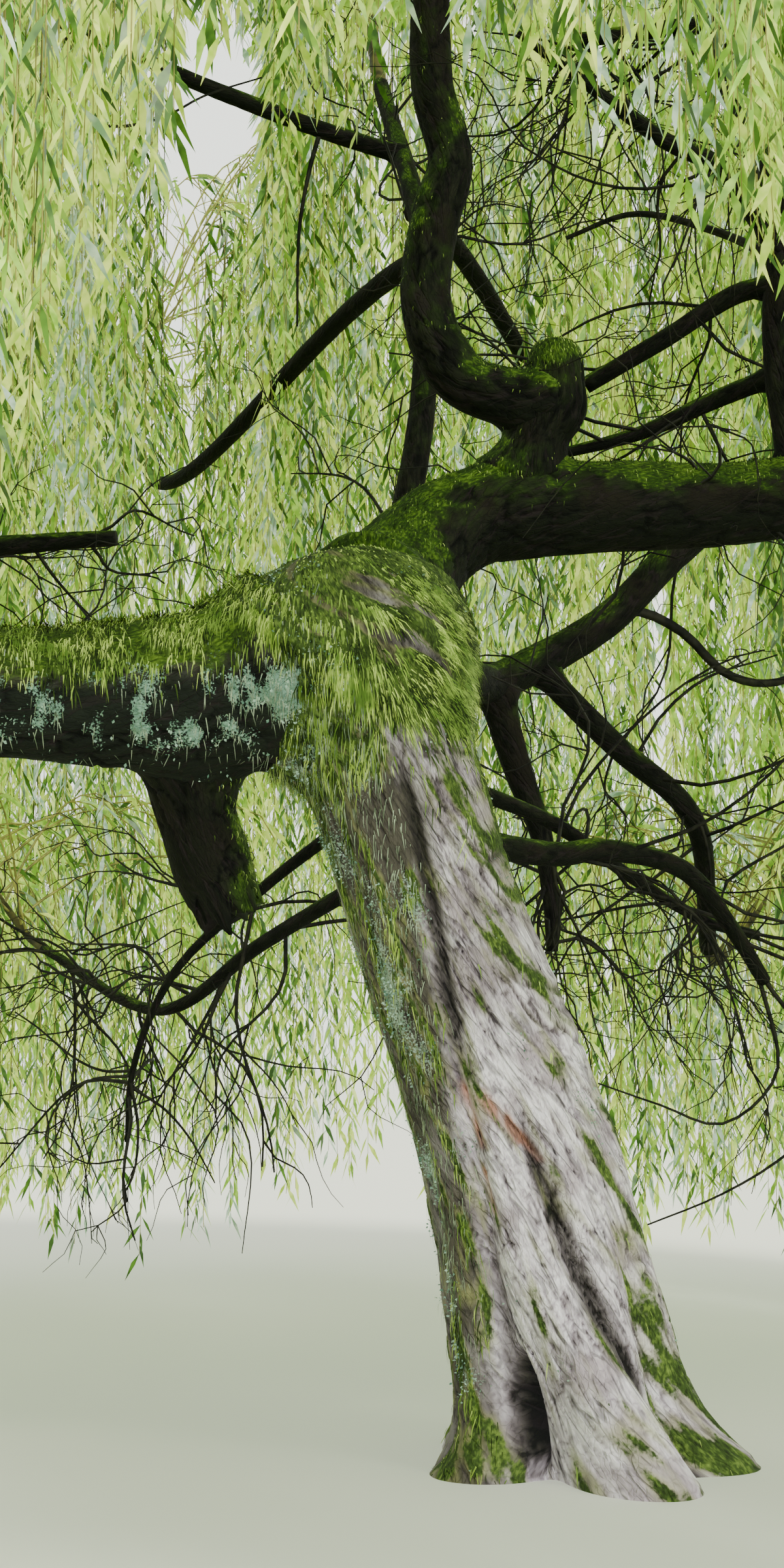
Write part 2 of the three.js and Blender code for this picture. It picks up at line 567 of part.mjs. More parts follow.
const tree = new THREE.Group();
const limbGroup = new THREE.Group();
const foliageGroup = new THREE.Group();
for (const [name, limb] of limbs) {
  const foot = name === 'trunk' ? new THREE.Vector3() : limb.curve.getPointAt(0);
  const barkOf = MOSSY_LIMBS.includes(name) ? MOSSY_BARK : SHADED_BARK;
  limbGroup.add(meshOf(name, limb.solid, name === 'trunk' ? BARK : barkOf, foot));
}
for (const [name, mass] of masses) {
  const { foot, solid } = growMass(mass);
  foliageGroup.add(meshOf(name, solid, FOLIAGE[mass.ring], foot));
}
tree.add(limbGroup, foliageGroup);

export default tree;
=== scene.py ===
"""A weeping willow: bark, moss, lichen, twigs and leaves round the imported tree.

Lengths are in metres. +Z is up, +X is to the right of the front, and the front looks along +Y.
"""
import json
import math

import bpy
import numpy as np
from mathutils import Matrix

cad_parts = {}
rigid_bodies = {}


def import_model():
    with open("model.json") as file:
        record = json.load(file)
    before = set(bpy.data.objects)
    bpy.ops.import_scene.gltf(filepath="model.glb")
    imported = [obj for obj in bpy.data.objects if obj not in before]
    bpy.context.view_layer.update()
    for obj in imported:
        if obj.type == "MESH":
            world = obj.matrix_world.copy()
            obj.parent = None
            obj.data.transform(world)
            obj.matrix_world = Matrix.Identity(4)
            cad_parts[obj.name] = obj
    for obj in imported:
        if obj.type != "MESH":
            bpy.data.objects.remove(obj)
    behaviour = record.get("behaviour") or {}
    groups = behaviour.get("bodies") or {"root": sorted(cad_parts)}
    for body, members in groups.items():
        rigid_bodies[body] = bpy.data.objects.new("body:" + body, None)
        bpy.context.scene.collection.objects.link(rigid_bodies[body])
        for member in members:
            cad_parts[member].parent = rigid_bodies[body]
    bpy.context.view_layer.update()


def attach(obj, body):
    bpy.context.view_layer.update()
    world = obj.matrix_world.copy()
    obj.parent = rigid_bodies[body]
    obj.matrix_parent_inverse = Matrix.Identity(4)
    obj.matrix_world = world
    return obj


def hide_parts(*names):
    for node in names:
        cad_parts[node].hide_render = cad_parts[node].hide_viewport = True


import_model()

# The photograph: its height in pixels, the row of its horizon, and how the camera stands.
PHOTO_HEIGHT = 2400
HORIZON_ROW = 1560
LENS_MM, SENSOR_MM = 50, 36
CAMERA_PLACE = (-0.642, -8.0, 1.58)

# The crown: a dome on an uneven plan, as the frame's solids have it.
TREE_TOP = 9.8
CROWN_MIDDLE = np.array([-0.7, 0.5, 0.0])
CROWN_REACH = 5.75
BACK_SKEW = 0.75
REACH_LOBES = 0.18
SHOULDER_DROP = 4.1
DOME_POWER = 2.2
SPACE_MARGIN = 0.03  # how far strands keep from the roof and from the inner and outer side of their ring
SIDE_OVERLAP = 0.3  # how far a mass's strands may hang past the line where it meets the next mass
GOLDEN_RATIO, GOLDEN_ANGLE = (math.sqrt(5) - 1) / 2, 2.4  # the angle in radians
FIRST_SEED = 11

# The trunk: centre line, mean radii up its length, and how its base swells into the roots.
TRUNK_PATH = [(0.014, 0.009, 0), (-0.17, -0.07, 1.02), (-0.48, -0.2, 1.95), (-0.7, -0.285, 2.64),
              (-0.83, -0.305, 2.98), (-0.89, -0.31, 3.235)]
BOLE_RADIUS, NECK_RADIUS, FORK_RADIUS = 0.34, 0.3, 0.335
NECK_AT, SHOULDER_AT = 0.75, 0.9
FLARE, FLARE_FADE = 0.17, 0.085
# Root ridges and the hollows between them: bearing and width in degrees, height, and fade up the trunk.
ROOT_RIDGES = [(-62, 24, 0.19, 0.13), (-8, 26, 0.24, 0.1), (60, 30, 0.12, 0.08), (130, 32, 0.15, 0.09),
               (205, 26, 0.17, 0.11)]
ROOT_HOLLOWS = [(-36, 13, 0.12, 0.2), (-108, 17, 0.19, 0.09)]
# Long swellings (positive) and grooves (negative) that wander round the bole as they climb: height, width
# in degrees, and the bearings that they pass at each height.
BOLE_LINES = [
    (0.055, 15, [(0.02, -66), (0.3, -80), (0.55, -96), (0.9, -106), (1.3, -104)]),
    (-0.06, 7, [(0.02, -34), (0.3, -52), (0.55, -67), (0.8, -76), (1.1, -84)]),
    (-0.05, 7, [(0.1, -124), (0.8, -121), (1.4, -112), (2.0, -92), (2.35, -84)]),
    (0.03, 12, [(0.1, -140), (0.8, -141), (1.5, -136), (2.3, -122)]),
    (-0.035, 6, [(0.1, -158), (0.9, -156), (1.7, -150), (2.4, -140)]),
    (0.03, 14, [(0.05, -10), (0.9, -30), (1.7, -44), (2.4, -60)]),
    (-0.04, 6, [(0.05, 24), (0.7, 18), (1.5, 4), (2.2, -10)]),
    (0.04, 14, [(0.05, 60), (0.9, 50), (1.8, 36)]),
    (-0.045, 7, [(0.05, 95), (0.9, 84), (1.8, 66), (2.4, 50)]),
    (0.04, 15, [(0.05, 130), (1.0, 118), (2.1, 100)]),
    (-0.04, 7, [(0.05, 172), (0.9, 160), (1.9, 148)]),
]
LEFT_GROOVE = list(zip(*BOLE_LINES[2][2]))  # the heights and bearings of the one that bounds the left flank
# Reddish strips where the bark is torn, as the lines above.
TORN_STRIPS = [
    (1, 1.8, [(1.22, -109), (1.41, -110)]),
    (1, 1.6, [(1.2, -87), (1.38, -99)]),
    (1, 1.2, [(1.12, -79), (1.27, -91)]),
    (1, 1.3, [(0.98, -113), (1.12, -113)]),
]
CAVITY = {"bearing": -116, "width": 7.5, "height": 0.24, "tall": 0.19, "deep": 0.24}
SCAR = {"bearing": -100, "width": 20, "height": 2.3, "tall": 0.14}
# How much the roots draw in from the frame's even flare: depth, bearing and width in degrees, height
# and rise.
DRAWN_IN = [(0.12, -170, 55, 0.0, 0.35), (0.11, -12, 34, 0.12, 0.35)]
LEVEL_RINGS_UP_TO = 0.8
TRUNK_RINGS, TRUNK_SIDES = 481, 300
# Where its skin swells to meet a bough's, and from how far.
TRUNK_JOINS = [("left_bough", 0.22), ("right_bough", 0.2), ("back_bough", 0.06), ("left_back_bough", 0.06)]
BARK_SLANT = 0.5  # turns round the trunk that its cracks lean by over its length
COMB_SLANT = 1.3  # the same for the bands of moss on its shoulder
SWIRL_MIDDLE = -95  # the bearing from which the shoulder's moss is combed to either side

# The limbs as the frame has them: radii at the two ends, an early waist as (share, radius), and points.
LIMBS = {
    "left_bough": dict(
        parent="trunk", feeds="curtain_left", radii=(0.316, 0.095), waist=(0.25, 0.226),
        path=[(-0.8, -0.305, 2.84), (-1.27, -0.32, 2.75), (-2.02, -0.4, 2.72), (-2.9, -0.35, 2.9),
              (-3.8, 0.05, 3.5)]),
    "broken_limb": dict(
        parent="left_bough", radii=(0.215, 0.07),
        path=[(-1.37, -0.17, 2.64), (-1.355, -0.09, 2.33), (-1.3, -0.02, 2.13), (-1.245, 0.01, 1.98)]),
    "right_bough": dict(
        parent="trunk", feeds="curtain_right", radii=(0.255, 0.085), waist=(0.2, 0.188),
        path=[(-0.74, -0.2, 2.9), (-0.56, 0.18, 3.33), (-0.33, 0.3, 3.51), (0, 0.35, 3.56),
              (0.92, 0.5, 3.64), (2.1, 0.56, 3.95)]),
    "rising_bough_neck": dict(
        parent="right_bough", radii=(0.125, 0.104),
        path=[(-0.19, 0.315, 3.58), (-0.095, 0.305, 3.8), (-0.005, 0.3, 4.01), (-0.005, 0.3, 4.225)]),
    "rising_bough_foot": dict(
        parent="rising_bough_neck", radii=(0.112, 0.104),
        path=[(-0.02, 0.298, 3.955), (-0.18, 0.285, 3.985), (-0.37, 0.28, 4.06), (-0.48, 0.287, 4.23)]),
    "rising_bough": dict(
        follows="rising_bough_foot", feeds="crest_left", radii=(0.103, 0.042),
        path=[(-0.512, 0.3, 4.42), (-0.465, 0.325, 4.74), (-0.41, 0.355, 4.97), (-0.48, 0.4, 5.31),
              (-0.49, 0.46, 5.8), (-0.56, 0.5, 6.9)]),
    "left_back_bough": dict(
        parent="trunk", feeds="curtain_left_back", radii=(0.098, 0.042),
        path=[(-0.7, -0.22, 2.38), (-1.05, 0.28, 2.64), (-1.6, 0.8, 2.86), (-2.15, 1.25, 3.08),
              (-2.75, 1.6, 3.5)]),
    "left_back_snag": dict(
        parent="left_back_bough", radii=(0.052, 0.034),
        path=[(-2.74, 1.59, 3.5), (-2.5, 1.54, 3.65), (-2.2, 1.49, 3.68), (-1.86, 1.44, 3.69)]),
    "back_riser": dict(
        parent="left_back_bough", feeds="cascade_back", radii=(0.072, 0.042),
        path=[(-0.96, 0.16, 2.59), (-0.79, 0.64, 2.96), (-0.64, 1.08, 3.5), (-0.51, 1.4, 4.25),
              (-0.49, 1.7, 5.05)]),
    "back_bough": dict(
        parent="trunk", feeds="curtain_right_back", radii=(0.085, 0.04),
        path=[(-0.62, -0.14, 2.6), (-0.4, 0.2, 2.85), (-0.21, 0.69, 2.935), (0.24, 0.95, 3.22),
              (0.56, 1.15, 3.55), (1.3, 1.8, 4.2)]),
    "back_bough_low": dict(
        parent="back_bough", feeds="low_sprays_right", radii=(0.052, 0.04),
        path=[(-0.05, 0.8, 3.01), (0.29, 1.0, 2.71), (0.62, 1.2, 2.45)]),
    "hanging_dead_limb": dict(
        parent="back_bough", radii=(0.074, 0.024),
        path=[(-0.24, 0.68, 2.94), (-0.13, 0.75, 2.57), (-0.04, 0.76, 2.32), (-0.005, 0.755, 2.07),
              (0, 0.75, 1.85)]),
    "low_limb_right_upper": dict(
        parent="trunk", radii=(0.034, 0.022),
        path=[(-0.56, -0.04, 2.5), (-0.02, 0.52, 2.35), (0.18, 0.78, 2.255), (0.35, 1.01, 2.165),
              (0.69, 1.22, 1.99), (0.93, 1.4, 1.94)]),
    "low_limb_right_lower": dict(
        parent="trunk", radii=(0.056, 0.03),
        path=[(-0.48, -0.06, 2.25), (-0.01, 0.43, 2.215), (0.2, 0.6, 2.245), (0.56, 0.9, 2.18),
              (0.78, 1.1, 1.95), (0.93, 1.24, 1.74)]),
    "low_limb_left_upper": dict(
        parent="trunk", feeds="low_sprays_left", radii=(0.032, 0.02),
        path=[(-0.56, -0.12, 2.18), (-1.15, 0.5, 1.87), (-1.57, 1.0, 1.62)]),
    "low_limb_left_lower": dict(
        parent="trunk", radii=(0.027, 0.011),
        path=[(-0.62, -0.15, 2.42), (-1.14, 0.38, 2.08), (-1.52, 0.72, 1.75), (-1.7, 0.96, 1.37),
              (-1.73, 1.05, 1.08)]),
    "right_riser": dict(
        parent="right_bough", feeds="cascade_right", radii=(0.072, 0.04),
        path=[(0.985, 0.505, 3.64), (0.925, 0.56, 4.2), (0.935, 0.59, 4.57), (1.08, 0.48, 5.5)]),
    "riser_limb_upper": dict(
        parent="right_riser", radii=(0.042, 0.034),
        path=[(0.935, 0.59, 4.54), (0.79, 0.65, 4.54), (0.47, 0.73, 4.36), (0.16, 0.8, 4.19)]),
    "riser_limb_lower": dict(
        parent="right_riser", radii=(0.044, 0.02),
        path=[(0.93, 0.57, 4.17), (0.7, 0.7, 4.11), (0.39, 0.75, 3.98), (0.01, 0.8, 3.89)]),
    "riser_limb_left": dict(
        parent="right_riser", radii=(0.052, 0.015),
        path=[(0.95, 0.585, 4.68), (0.69, 0.61, 5.06), (0.49, 0.61, 5.16), (0.14, 0.62, 5.43),
              (-0.12, 0.64, 5.64)]),
    "riser_limb_top": dict(
        parent="right_riser", radii=(0.042, 0.03),
        path=[(1.1, 0.47, 5.56), (0.71, 0.62, 5.67), (0.14, 0.7, 5.64)]),
    "left_riser": dict(
        parent="left_bough", feeds="cascade_left", radii=(0.095, 0.04),
        path=[(-2.85, -0.36, 2.88), (-3.02, -0.42, 3.9), (-2.93, -0.34, 5.05)]),
    "hanging_limb_left": dict(
        parent="left_riser", radii=(0.046, 0.014),
        path=[(-2.935, -0.34, 5.0), (-2.45, -0.31, 5.61), (-2.0, -0.27, 5.68), (-1.81, -0.3, 5.33),
              (-1.92, -0.4, 4.81), (-1.98, -0.4, 4.43)]),
}
# Branches to the masses that no other limb reaches: the parent and the place on it, the mass, and the
# radii.
BRANCHES = {
    "branch_back_right": ("back_riser", 0.7, "curtain_back_right", (0.05, 0.038)),
    "branch_back_left": ("back_riser", 0.62, "curtain_back_left", (0.05, 0.038)),
    "branch_left_front": ("left_bough", 0.62, "curtain_left_front", (0.072, 0.038)),
    "branch_front_left": ("left_riser", 0.45, "curtain_front_left", (0.056, 0.036)),
    "branch_front_right": ("rising_bough", 0.55, "curtain_front_right", (0.056, 0.036)),
    "branch_right_front": ("right_bough", 0.62, "curtain_right_front", (0.066, 0.038)),
    "branch_high_front_right": ("rising_bough", 0.72, "cascade_front_right", (0.044, 0.032)),
    "branch_high_right_back": ("right_riser", 0.42, "cascade_right_back", (0.044, 0.032)),
    "branch_high_left_back": ("back_riser", 0.82, "cascade_left_back", (0.044, 0.032)),
    "branch_high_front_left": ("rising_bough", 0.64, "cascade_front_left", (0.044, 0.032)),
    "branch_top_back": ("rising_bough", 0.78, "crest_back", (0.038, 0.03)),
    "branch_top_right": ("rising_bough", 0.84, "crest_right", (0.036, 0.03)),
}
for name, (parent, at, mass, radii) in BRANCHES.items():
    LIMBS[name] = dict(parent=parent, at=at, feeds=mass, radii=radii)
# The heavy boughs: rings and sides of the mesh, what their skins swell to meet, and the seed, the width of a
# plate, the depth of a crack and the extra moss of their bark.
BOUGHS = {
    "left_bough": (300, 140, [("trunk", 0.2), ("broken_limb", 0.12)], 101, 0.05, 0.012, 0.05),
    "broken_limb": (90, 80, [("left_bough", 0.14)], 201, 0.05, 0.014, -0.05),
    "right_bough": (300, 110, [("trunk", 0.18), ("rising_bough_neck", 0.1)], 301, 0.05, 0.012, 0.0),
    "rising_bough_neck": (60, 70, [("right_bough", 0.12), ("rising_bough_foot", 0.06)], 311, 0.04, 0.008,
                          0.1),
    "rising_bough": (320, 60, [("rising_bough_neck", 0.08)], 321, 0.04, 0.01, 0.0),
}

# The rings of foliage. Inner, outer, crest and end are shares of the crown's reach, floor and roof are
# heights, sink is how far shoots stay below the roof, and tip is where a bough ends and its mass begins.
TIERS = {
    "curtain": dict(inner=0.68, outer=1, floor=0.42, tip=(0.7, 4.9), crest=0.86, end=0.95, sink=0.33),
    "cascade": dict(inner=0.35, outer=0.665, floor=2.95, tip=(0.37, 6.45), crest=0.5, end=0.61, sink=0.33),
    "crest": dict(inner=0.03, outer=0.335, floor=5.6, tip=(0.09, 7.9), crest=0.18, end=0.28, sink=0.25),
    "low_sprays": dict(inner=0.335, outer=0.665, floor=0.42, tip=(0.35, 1.9), crest=0.45, end=0.58,
                       sink=0.25, roof=2.8),
}
# The masses of each ring from its first bearing on, with the step between them and the arc of each.
RINGS = {
    "curtain": (0, 36, 36, ["right", "right_back", "back_right", "back_left", "left_back", "left",
                            "left_front", "front_left", "front_right", "right_front"]),
    "cascade": (38.6, 360 / 7, 360 / 7, ["right_back", "back", "left_back", "left", "front_left",
                                         "front_right", "right"]),
    "crest": (90, 120, 120, ["back", "left", "right"]),
    "low_sprays": (45, 90, 60, ["right", "left"]),
}
# The front curtain parts round a clear way to the trunk, a wedge that widens from the camera's place.
CLEAR_APEX = CAMERA_PLACE
CLEAR_SPREAD, CLEAR_BACK = 0.2, -0.45
CLEAR_ROOF, CLEAR_ROOF_LEFT, CLEAR_ROOF_RIGHT = 0.46, 0.2, 0.3

# The gap in the crown that shows the sky: slopes across and above from the same apex.
SKY_WINDOW = {"across": -0.086, "above": 0.438, "half_width": 0.024, "half_height": 0.028}

# For each ring: shoots of a mass, and the hanging strands and the short sprays of a shoot.
GROWTH = {
    "curtain": dict(shoots=34, strands=7, sprays=3),
    "cascade": dict(shoots=32, strands=6, sprays=4),
    "crest": dict(shoots=30, strands=6, sprays=5),
    "low_sprays": dict(shoots=22, strands=7, sprays=1),
}
THICKER = {"curtain_back_left": 1.4, "curtain_back_right": 1.2}  # where nothing else hangs behind the trunk
INNERMOST_SHOOT = 0.08  # share of the way from a ring's inner side to its crest where the first shoot ends
EDGE_FAVOUR = 0.47  # below 1 it sends more shoots to the sides of a mass, where two masses meet
OUTWARD_FAVOUR = 0.44  # below 1 it sends more strands to the outer end of each shoot
ARC_POINTS, STEM_POINTS, STRAND_POINTS = 8, 12, 6  # of the lines that their bars follow
STEM_TIP, SHOOT_GIRTHS, STRAND_GIRTHS = 0.012, (0.007, 0.003), (0.0045, 0.0016)
TEST_POINTS = 16  # along each strand, to see where it is clear
SHOOT_CLEARANCE, STRAND_CLEARANCE = 0.01, 0.025  # from the skins of limbs
# How strands leave a shoot: the spread of their turns in radians, the rise of their heading, their length in
# metres or, when they hang, as a share of the way to the floor, their reach, and the shortest one kept.
HANGING = dict(turn=1.0, rise=(-0.1, 0.45), length=(0.7, 1.0), reach=(0.06, 0.4), shortest=0.3)
SPRAY = dict(turn=1.5, rise=(0.0, 0.5), length=(0.35, 0.8), reach=(0.3, 0.7), shortest=0.15)
# Leaf tints: dark and light of each shade, and how many of the strands have each. The last share is bare.
LEAF_SHADES = {
    "yellow_green": ("#b2d43c", "#e6f47c"),
    "mid_green": ("#7cac2c", "#b4dc56"),
    "pale_grey_green": ("#8bb08e", "#d3e5d4"),
    "deep_green": ("#2c5014", "#568226"),
}
SHADE_SHARES = (0.37, 0.26, 0.12, 0.2, 0.05)
# Where foliage is grouped into pieces: each group's ring, masses, leaf length, share of it that a leaf is
# wide, and gap between leaves.
GROUPS = {
    "near_curtain": ("curtain", ("front_left", "front_right"), 0.125, 0.14, 0.052),
    "side_curtain": ("curtain", ("left_front", "right_front"), 0.155, 0.18, 0.052),
    "back_curtain": ("curtain", ("right", "right_back", "back_right", "back_left", "left_back", "left"),
                     0.18, 0.18, 0.06),
    "cascade": ("cascade", None, 0.175, 0.2, 0.0565),
    "crest": ("crest", None, 0.18, 0.2, 0.052),
    "low": ("low_sprays", None, 0.15, 0.18, 0.046),
}
FINEST_GROUP = "near_curtain"
SLOTS = {"curtain": "curtain_leaves", "cascade": "cascade_leaves", "crest": "crest_leaves",
         "low_sprays": "low_leaves"}
LEAF_SEED = 500  # added to a mass's own

# Bare branches of their own: girths at the two ends, and points.
BARE_BRANCHES = [
    ((0.008, 0.003), [(-1.71, 0.98, 1.35), (-1.88, 0.95, 1.33), (-2.0, 0.92, 1.23), (-2.04, 0.9, 1.09),
                      (-1.99, 0.9, 1.02)]),
    ((0.009, 0.004), [(-1.71, 0.97, 1.33), (-1.68, 1.0, 1.13), (-1.7, 1.0, 0.94), (-1.74, 1.0, 0.87)]),
    ((0.008, 0.003), [(-1.7, 0.98, 1.3), (-1.57, 1.02, 1.21), (-1.47, 1.05, 1.09), (-1.37, 1.08, 0.91)]),
    ((0.008, 0.004), [(-1.7, 0.96, 1.37), (-1.84, 1.05, 1.37), (-1.96, 1.1, 1.42), (-2.12, 1.1, 1.55),
                      (-2.21, 1.1, 1.61)]),
    ((0.025, 0.019), [(0.24, 0.95, 3.22), (0.37, 1.0, 3.28), (0.59, 1.15, 3.22), (0.79, 1.3, 3.07),
                      (1.1, 1.6, 3.08), (1.45, 1.8, 3.3)]),
    ((0.026, 0.012), [(0.935, 0.6, 4.66), (0.73, 0.8, 4.85), (0.38, 0.9, 4.97), (0.1, 1.0, 4.9)]),
    ((0.014, 0.006), [(-1.0, 2.22, 5.86), (-1.04, 2.2, 5.7), (-1.09, 2.2, 5.4), (-1.1, 2.2, 4.9)]),
    ((0.009, 0.004), [(-1.9, -0.38, 4.95), (-1.7, -0.34, 4.83), (-1.5, -0.3, 4.87), (-1.33, -0.3, 4.96),
                      (-1.12, -0.3, 5.03)]),
    ((0.012, 0.004), [(0.9, 1.22, 1.78), (0.98, 1.28, 1.35), (0.75, 1.3, 1.14), (0.49, 1.3, 1.22),
                      (0.23, 1.3, 1.31)]),
    ((0.012, 0.004), [(0.92, 1.23, 1.76), (1.25, 1.3, 1.25), (0.99, 1.2, 1.01), (0.72, 1.2, 0.85),
                      (0.42, 1.2, 0.73)]),
]
TWIG_SEED = 77
TWIG_GIRTHS = [(0.01, 0.004), (0.005, 0.002), (0.0028, 0.0012)]  # of main, small and least twigs
LOWEST_TWIG = 0.3
# Tangles of bare twigs: the limbs they grow on, how many, their lengths, and how much they droop.
TANGLES = [
    (("back_bough", "back_bough_low", "low_limb_right_upper", "low_limb_right_lower"), 34, (0.5, 1.3), 0.5),
    (("hanging_dead_limb",), 6, (0.3, 0.7), 0.7),
    (("low_limb_left_upper", "low_limb_left_lower"), 24, (0.4, 1.1), 0.7),
    (("left_back_bough", "back_riser"), 24, (0.4, 1.0), 0.2),
    (("riser_limb_upper", "riser_limb_lower", "riser_limb_left", "riser_limb_top", "right_riser"), 28,
     (0.4, 1.2), 0.5),
    (("left_back_snag",), 4, (0.3, 0.6), 0.6),
    (("right_bough",), 10, (0.4, 1.0), 0.9),
]

# Moss on the limbs in the shade: how many blades, and how long and wide each is.
SHADED_MOSS = {
    "right_bough": (2600, 0.022, 0.002),
    "rising_bough_neck": (900, 0.022, 0.002),
    "rising_bough": (1300, 0.018, 0.0018),
    "broken_limb": (600, 0.024, 0.002),
}
MOSS_SEED = 7

# The studio: an even pale sky, a floor, and soft suns: strength, place, spread, tint and whether it casts
# shadows. Those without shadows fill the inside of the crown.
WORLD_TINT, WORLD_STRENGTH = "#f0f4ea", 1.25
SEEN_BRIGHTER = 1.1  # added to the sky's strength where the camera sees it
FLOOR_REACH, FLOOR_TINT = 60.0, "#d9dccf"
LAMP_AIM = (-0.5, 0, 2)
LAMPS = {
    "high_key": (3.6, (4, -6, 14), 0.2, "#fffaee", True),
    "front_fill": (2.9, (6, -11, 8), 0.4, "#ffffff", False),
    "back_left_fill": (0.8, (-9, 6, 7), 0.4, "#ffffff", False),
    "back_right_fill": (0.6, (7, 10, 7), 0.4, "#ffffff", False),
}

UP = np.array([0.0, 0.0, 1.0])


def smoothstep(x, low, high):
    """0 below low, 1 above high, and 3t^2 - 2t^3 between."""
    t = np.clip((x - low) / (high - low), 0, 1)
    return t * t * (3 - 2 * t)


def mix(a, b, t):
    return a + (b - a) * t


def unit(v):
    """Vectors at length 1."""
    return v / np.maximum(np.linalg.norm(v, axis=-1, keepdims=True), 1e-9)


def turn_between(a, b):
    """The turn from bearing b to bearing a in degrees, from -180 to 180."""
    return (a - b + 180) % 360 - 180


def swell(x, width):
    """1 at nothing, and 1/e at a width to either side: e^(-(x/width)^2)."""
    return np.exp(-(x / width)**2)


class Path:
    """A line through close points, read by the share of its length."""

    def __init__(self, points):
        self.points = np.asarray(points, float)
        steps = np.linalg.norm(np.diff(self.points, axis=0), axis=1)
        self.length = steps.sum()
        self.shares = np.concatenate([[0], np.cumsum(steps)]) / self.length

    def at(self, share):
        return np.stack([np.interp(share, self.shares, self.points[:, k]) for k in range(3)], -1)

    def heading(self, share):
        return unit(self.at(np.minimum(share + 0.01, 1)) - self.at(np.maximum(share - 0.01, 0)))


def curve_through(corners, steps=60):
    """Centripetal Catmull-Rom: each stretch is a cubic whose end slopes weigh the next points by the square
    roots of their distances."""
    corners = np.asarray(corners, float)
    p = np.vstack([2 * corners[0] - corners[1], corners, 2 * corners[-1] - corners[-2]])
    t = np.linspace(0, 1, steps, endpoint=False)[:, None]
    parts = []
    for a, b, c, d in zip(p, p[1:], p[2:], p[3:]):
        ab, bc, cd = (math.sqrt(np.linalg.norm(v)) for v in (b - a, c - b, d - c))
        leave = ((b - a) / ab - (c - a) / (ab + bc) + (c - b) / bc) * bc
        arrive = ((c - b) / bc - (d - b) / (bc + cd) + (d - c) / cd) * bc
        square, cube = 3 * (c - b) - 2 * leave - arrive, 2 * (b - c) + leave + arrive
        parts.append(b + leave * t + square * t**2 + cube * t**3)
    return Path(np.vstack(parts + [corners[-1:]]))


def bezier(a, b, c, d, steps=120):
    """A cubic from a to d that leaves towards b and arrives from c."""
    t = np.linspace(0, 1, steps)[:, None]
    return Path(a * (1 - t)**3 + 3 * b * t * (1 - t)**2 + 3 * c * t**2 * (1 - t) + d * t**3)


def noise(x, y, around, seed):
    """Smooth noise, about -0.7 to 0.7, on unit cells that come round again after `around` cells of x: a
    seeded slope at each corner, blended by 6t^5 - 15t^4 + 10t^3."""
    row, column = np.floor(y).astype(int), np.floor(x).astype(int)
    u, v = x - column, y - row
    row -= row.min()
    angles = np.random.default_rng(seed).random((around, row.max() + 2)) * 2 * math.pi
    blend_u, blend_v = (t**3 * (t * (6 * t - 15) + 10) for t in (u, v))

    def corner(i, j):
        angle = angles[(column + i) % around, row + j]
        return np.cos(angle) * (u - i) + np.sin(angle) * (v - j)

    low = mix(corner(0, 0), corner(1, 0), blend_u)
    return mix(low, mix(corner(0, 1), corner(1, 1), blend_u), blend_v)


# The crown's rules, as the frame's solids follow them.

def crown_reach(bearing):
    """Mean reach, plus the skew to the back by the sine, plus three lobes by the cosine."""
    return CROWN_REACH + BACK_SKEW * np.sin(bearing) + REACH_LOBES * np.cos(3 * bearing + 1)


def crown_roof(share):
    """The dome's height: its top less a drop that grows as a power of the share of the reach."""
    return TREE_TOP - SHOULDER_DROP * share**DOME_POWER


def level(bearing):
    return np.stack([np.cos(bearing), np.sin(bearing), 0 * bearing], -1)


def crown_point(bearing, share, height):
    """The point at a bearing and a share of the reach from the crown's middle, at a height."""
    bearing, share, height = np.broadcast_arrays(*(np.asarray(v, float) for v in (bearing, share, height)))
    flat = CROWN_MIDDLE + level(bearing) * (crown_reach(bearing) * share)[..., None]
    return flat + UP * height[..., None]


def in_clear_way(p):
    """Whether points lie in the wedge of space in front of the trunk, under its arched roof."""
    away = p[..., 1] - CLEAR_APEX[1]
    aside = (p[..., 0] - CLEAR_APEX[0]) / away / CLEAR_SPREAD
    side = np.where(aside < 0, CLEAR_ROOF_LEFT, CLEAR_ROOF_RIGHT)
    roof = mix(CLEAR_ROOF, side, aside**2)
    return (p[..., 1] < CLEAR_BACK) & (abs(aside) < 1) & ((p[..., 2] - CLEAR_APEX[2]) / away < roof)


def in_space(mass, p):
    """Whether points lie in a mass's own sector of its ring or just past its sides, under the dome and
    outside the clear way."""
    tier = mass["tier"]
    from_middle = p - CROWN_MIDDLE
    bearing = np.arctan2(from_middle[..., 1], from_middle[..., 0])
    distance = np.hypot(from_middle[..., 0], from_middle[..., 1])
    reach = crown_reach(bearing)
    turn = np.radians(abs(turn_between(np.degrees(bearing), np.degrees(mass["bearing"]))))
    roof = np.minimum(tier.get("roof", TREE_TOP), crown_roof(distance / reach))
    return (((mass["half_arc"] - turn) * distance > -SIDE_OVERLAP)
            & (distance > tier["inner"] * reach + SPACE_MARGIN)
            & (distance < tier["outer"] * reach - SPACE_MARGIN)
            & (p[..., 2] > tier["floor"]) & (p[..., 2] < roof - SPACE_MARGIN) & ~in_clear_way(p))


masses = {}
for ring, (first, step, arc, words) in RINGS.items():
    for i, word in enumerate(words):
        masses[f"{ring}_{word}"] = dict(ring=ring, tier=TIERS[ring], seed=len(masses) + FIRST_SEED,
                                        bearing=math.radians(first + i * step),
                                        half_arc=math.radians(arc / 2))


# The limbs' centre lines and radii.

def mass_tip(mass):
    share, height = mass["tier"]["tip"]
    return crown_point(mass["bearing"], share, height)


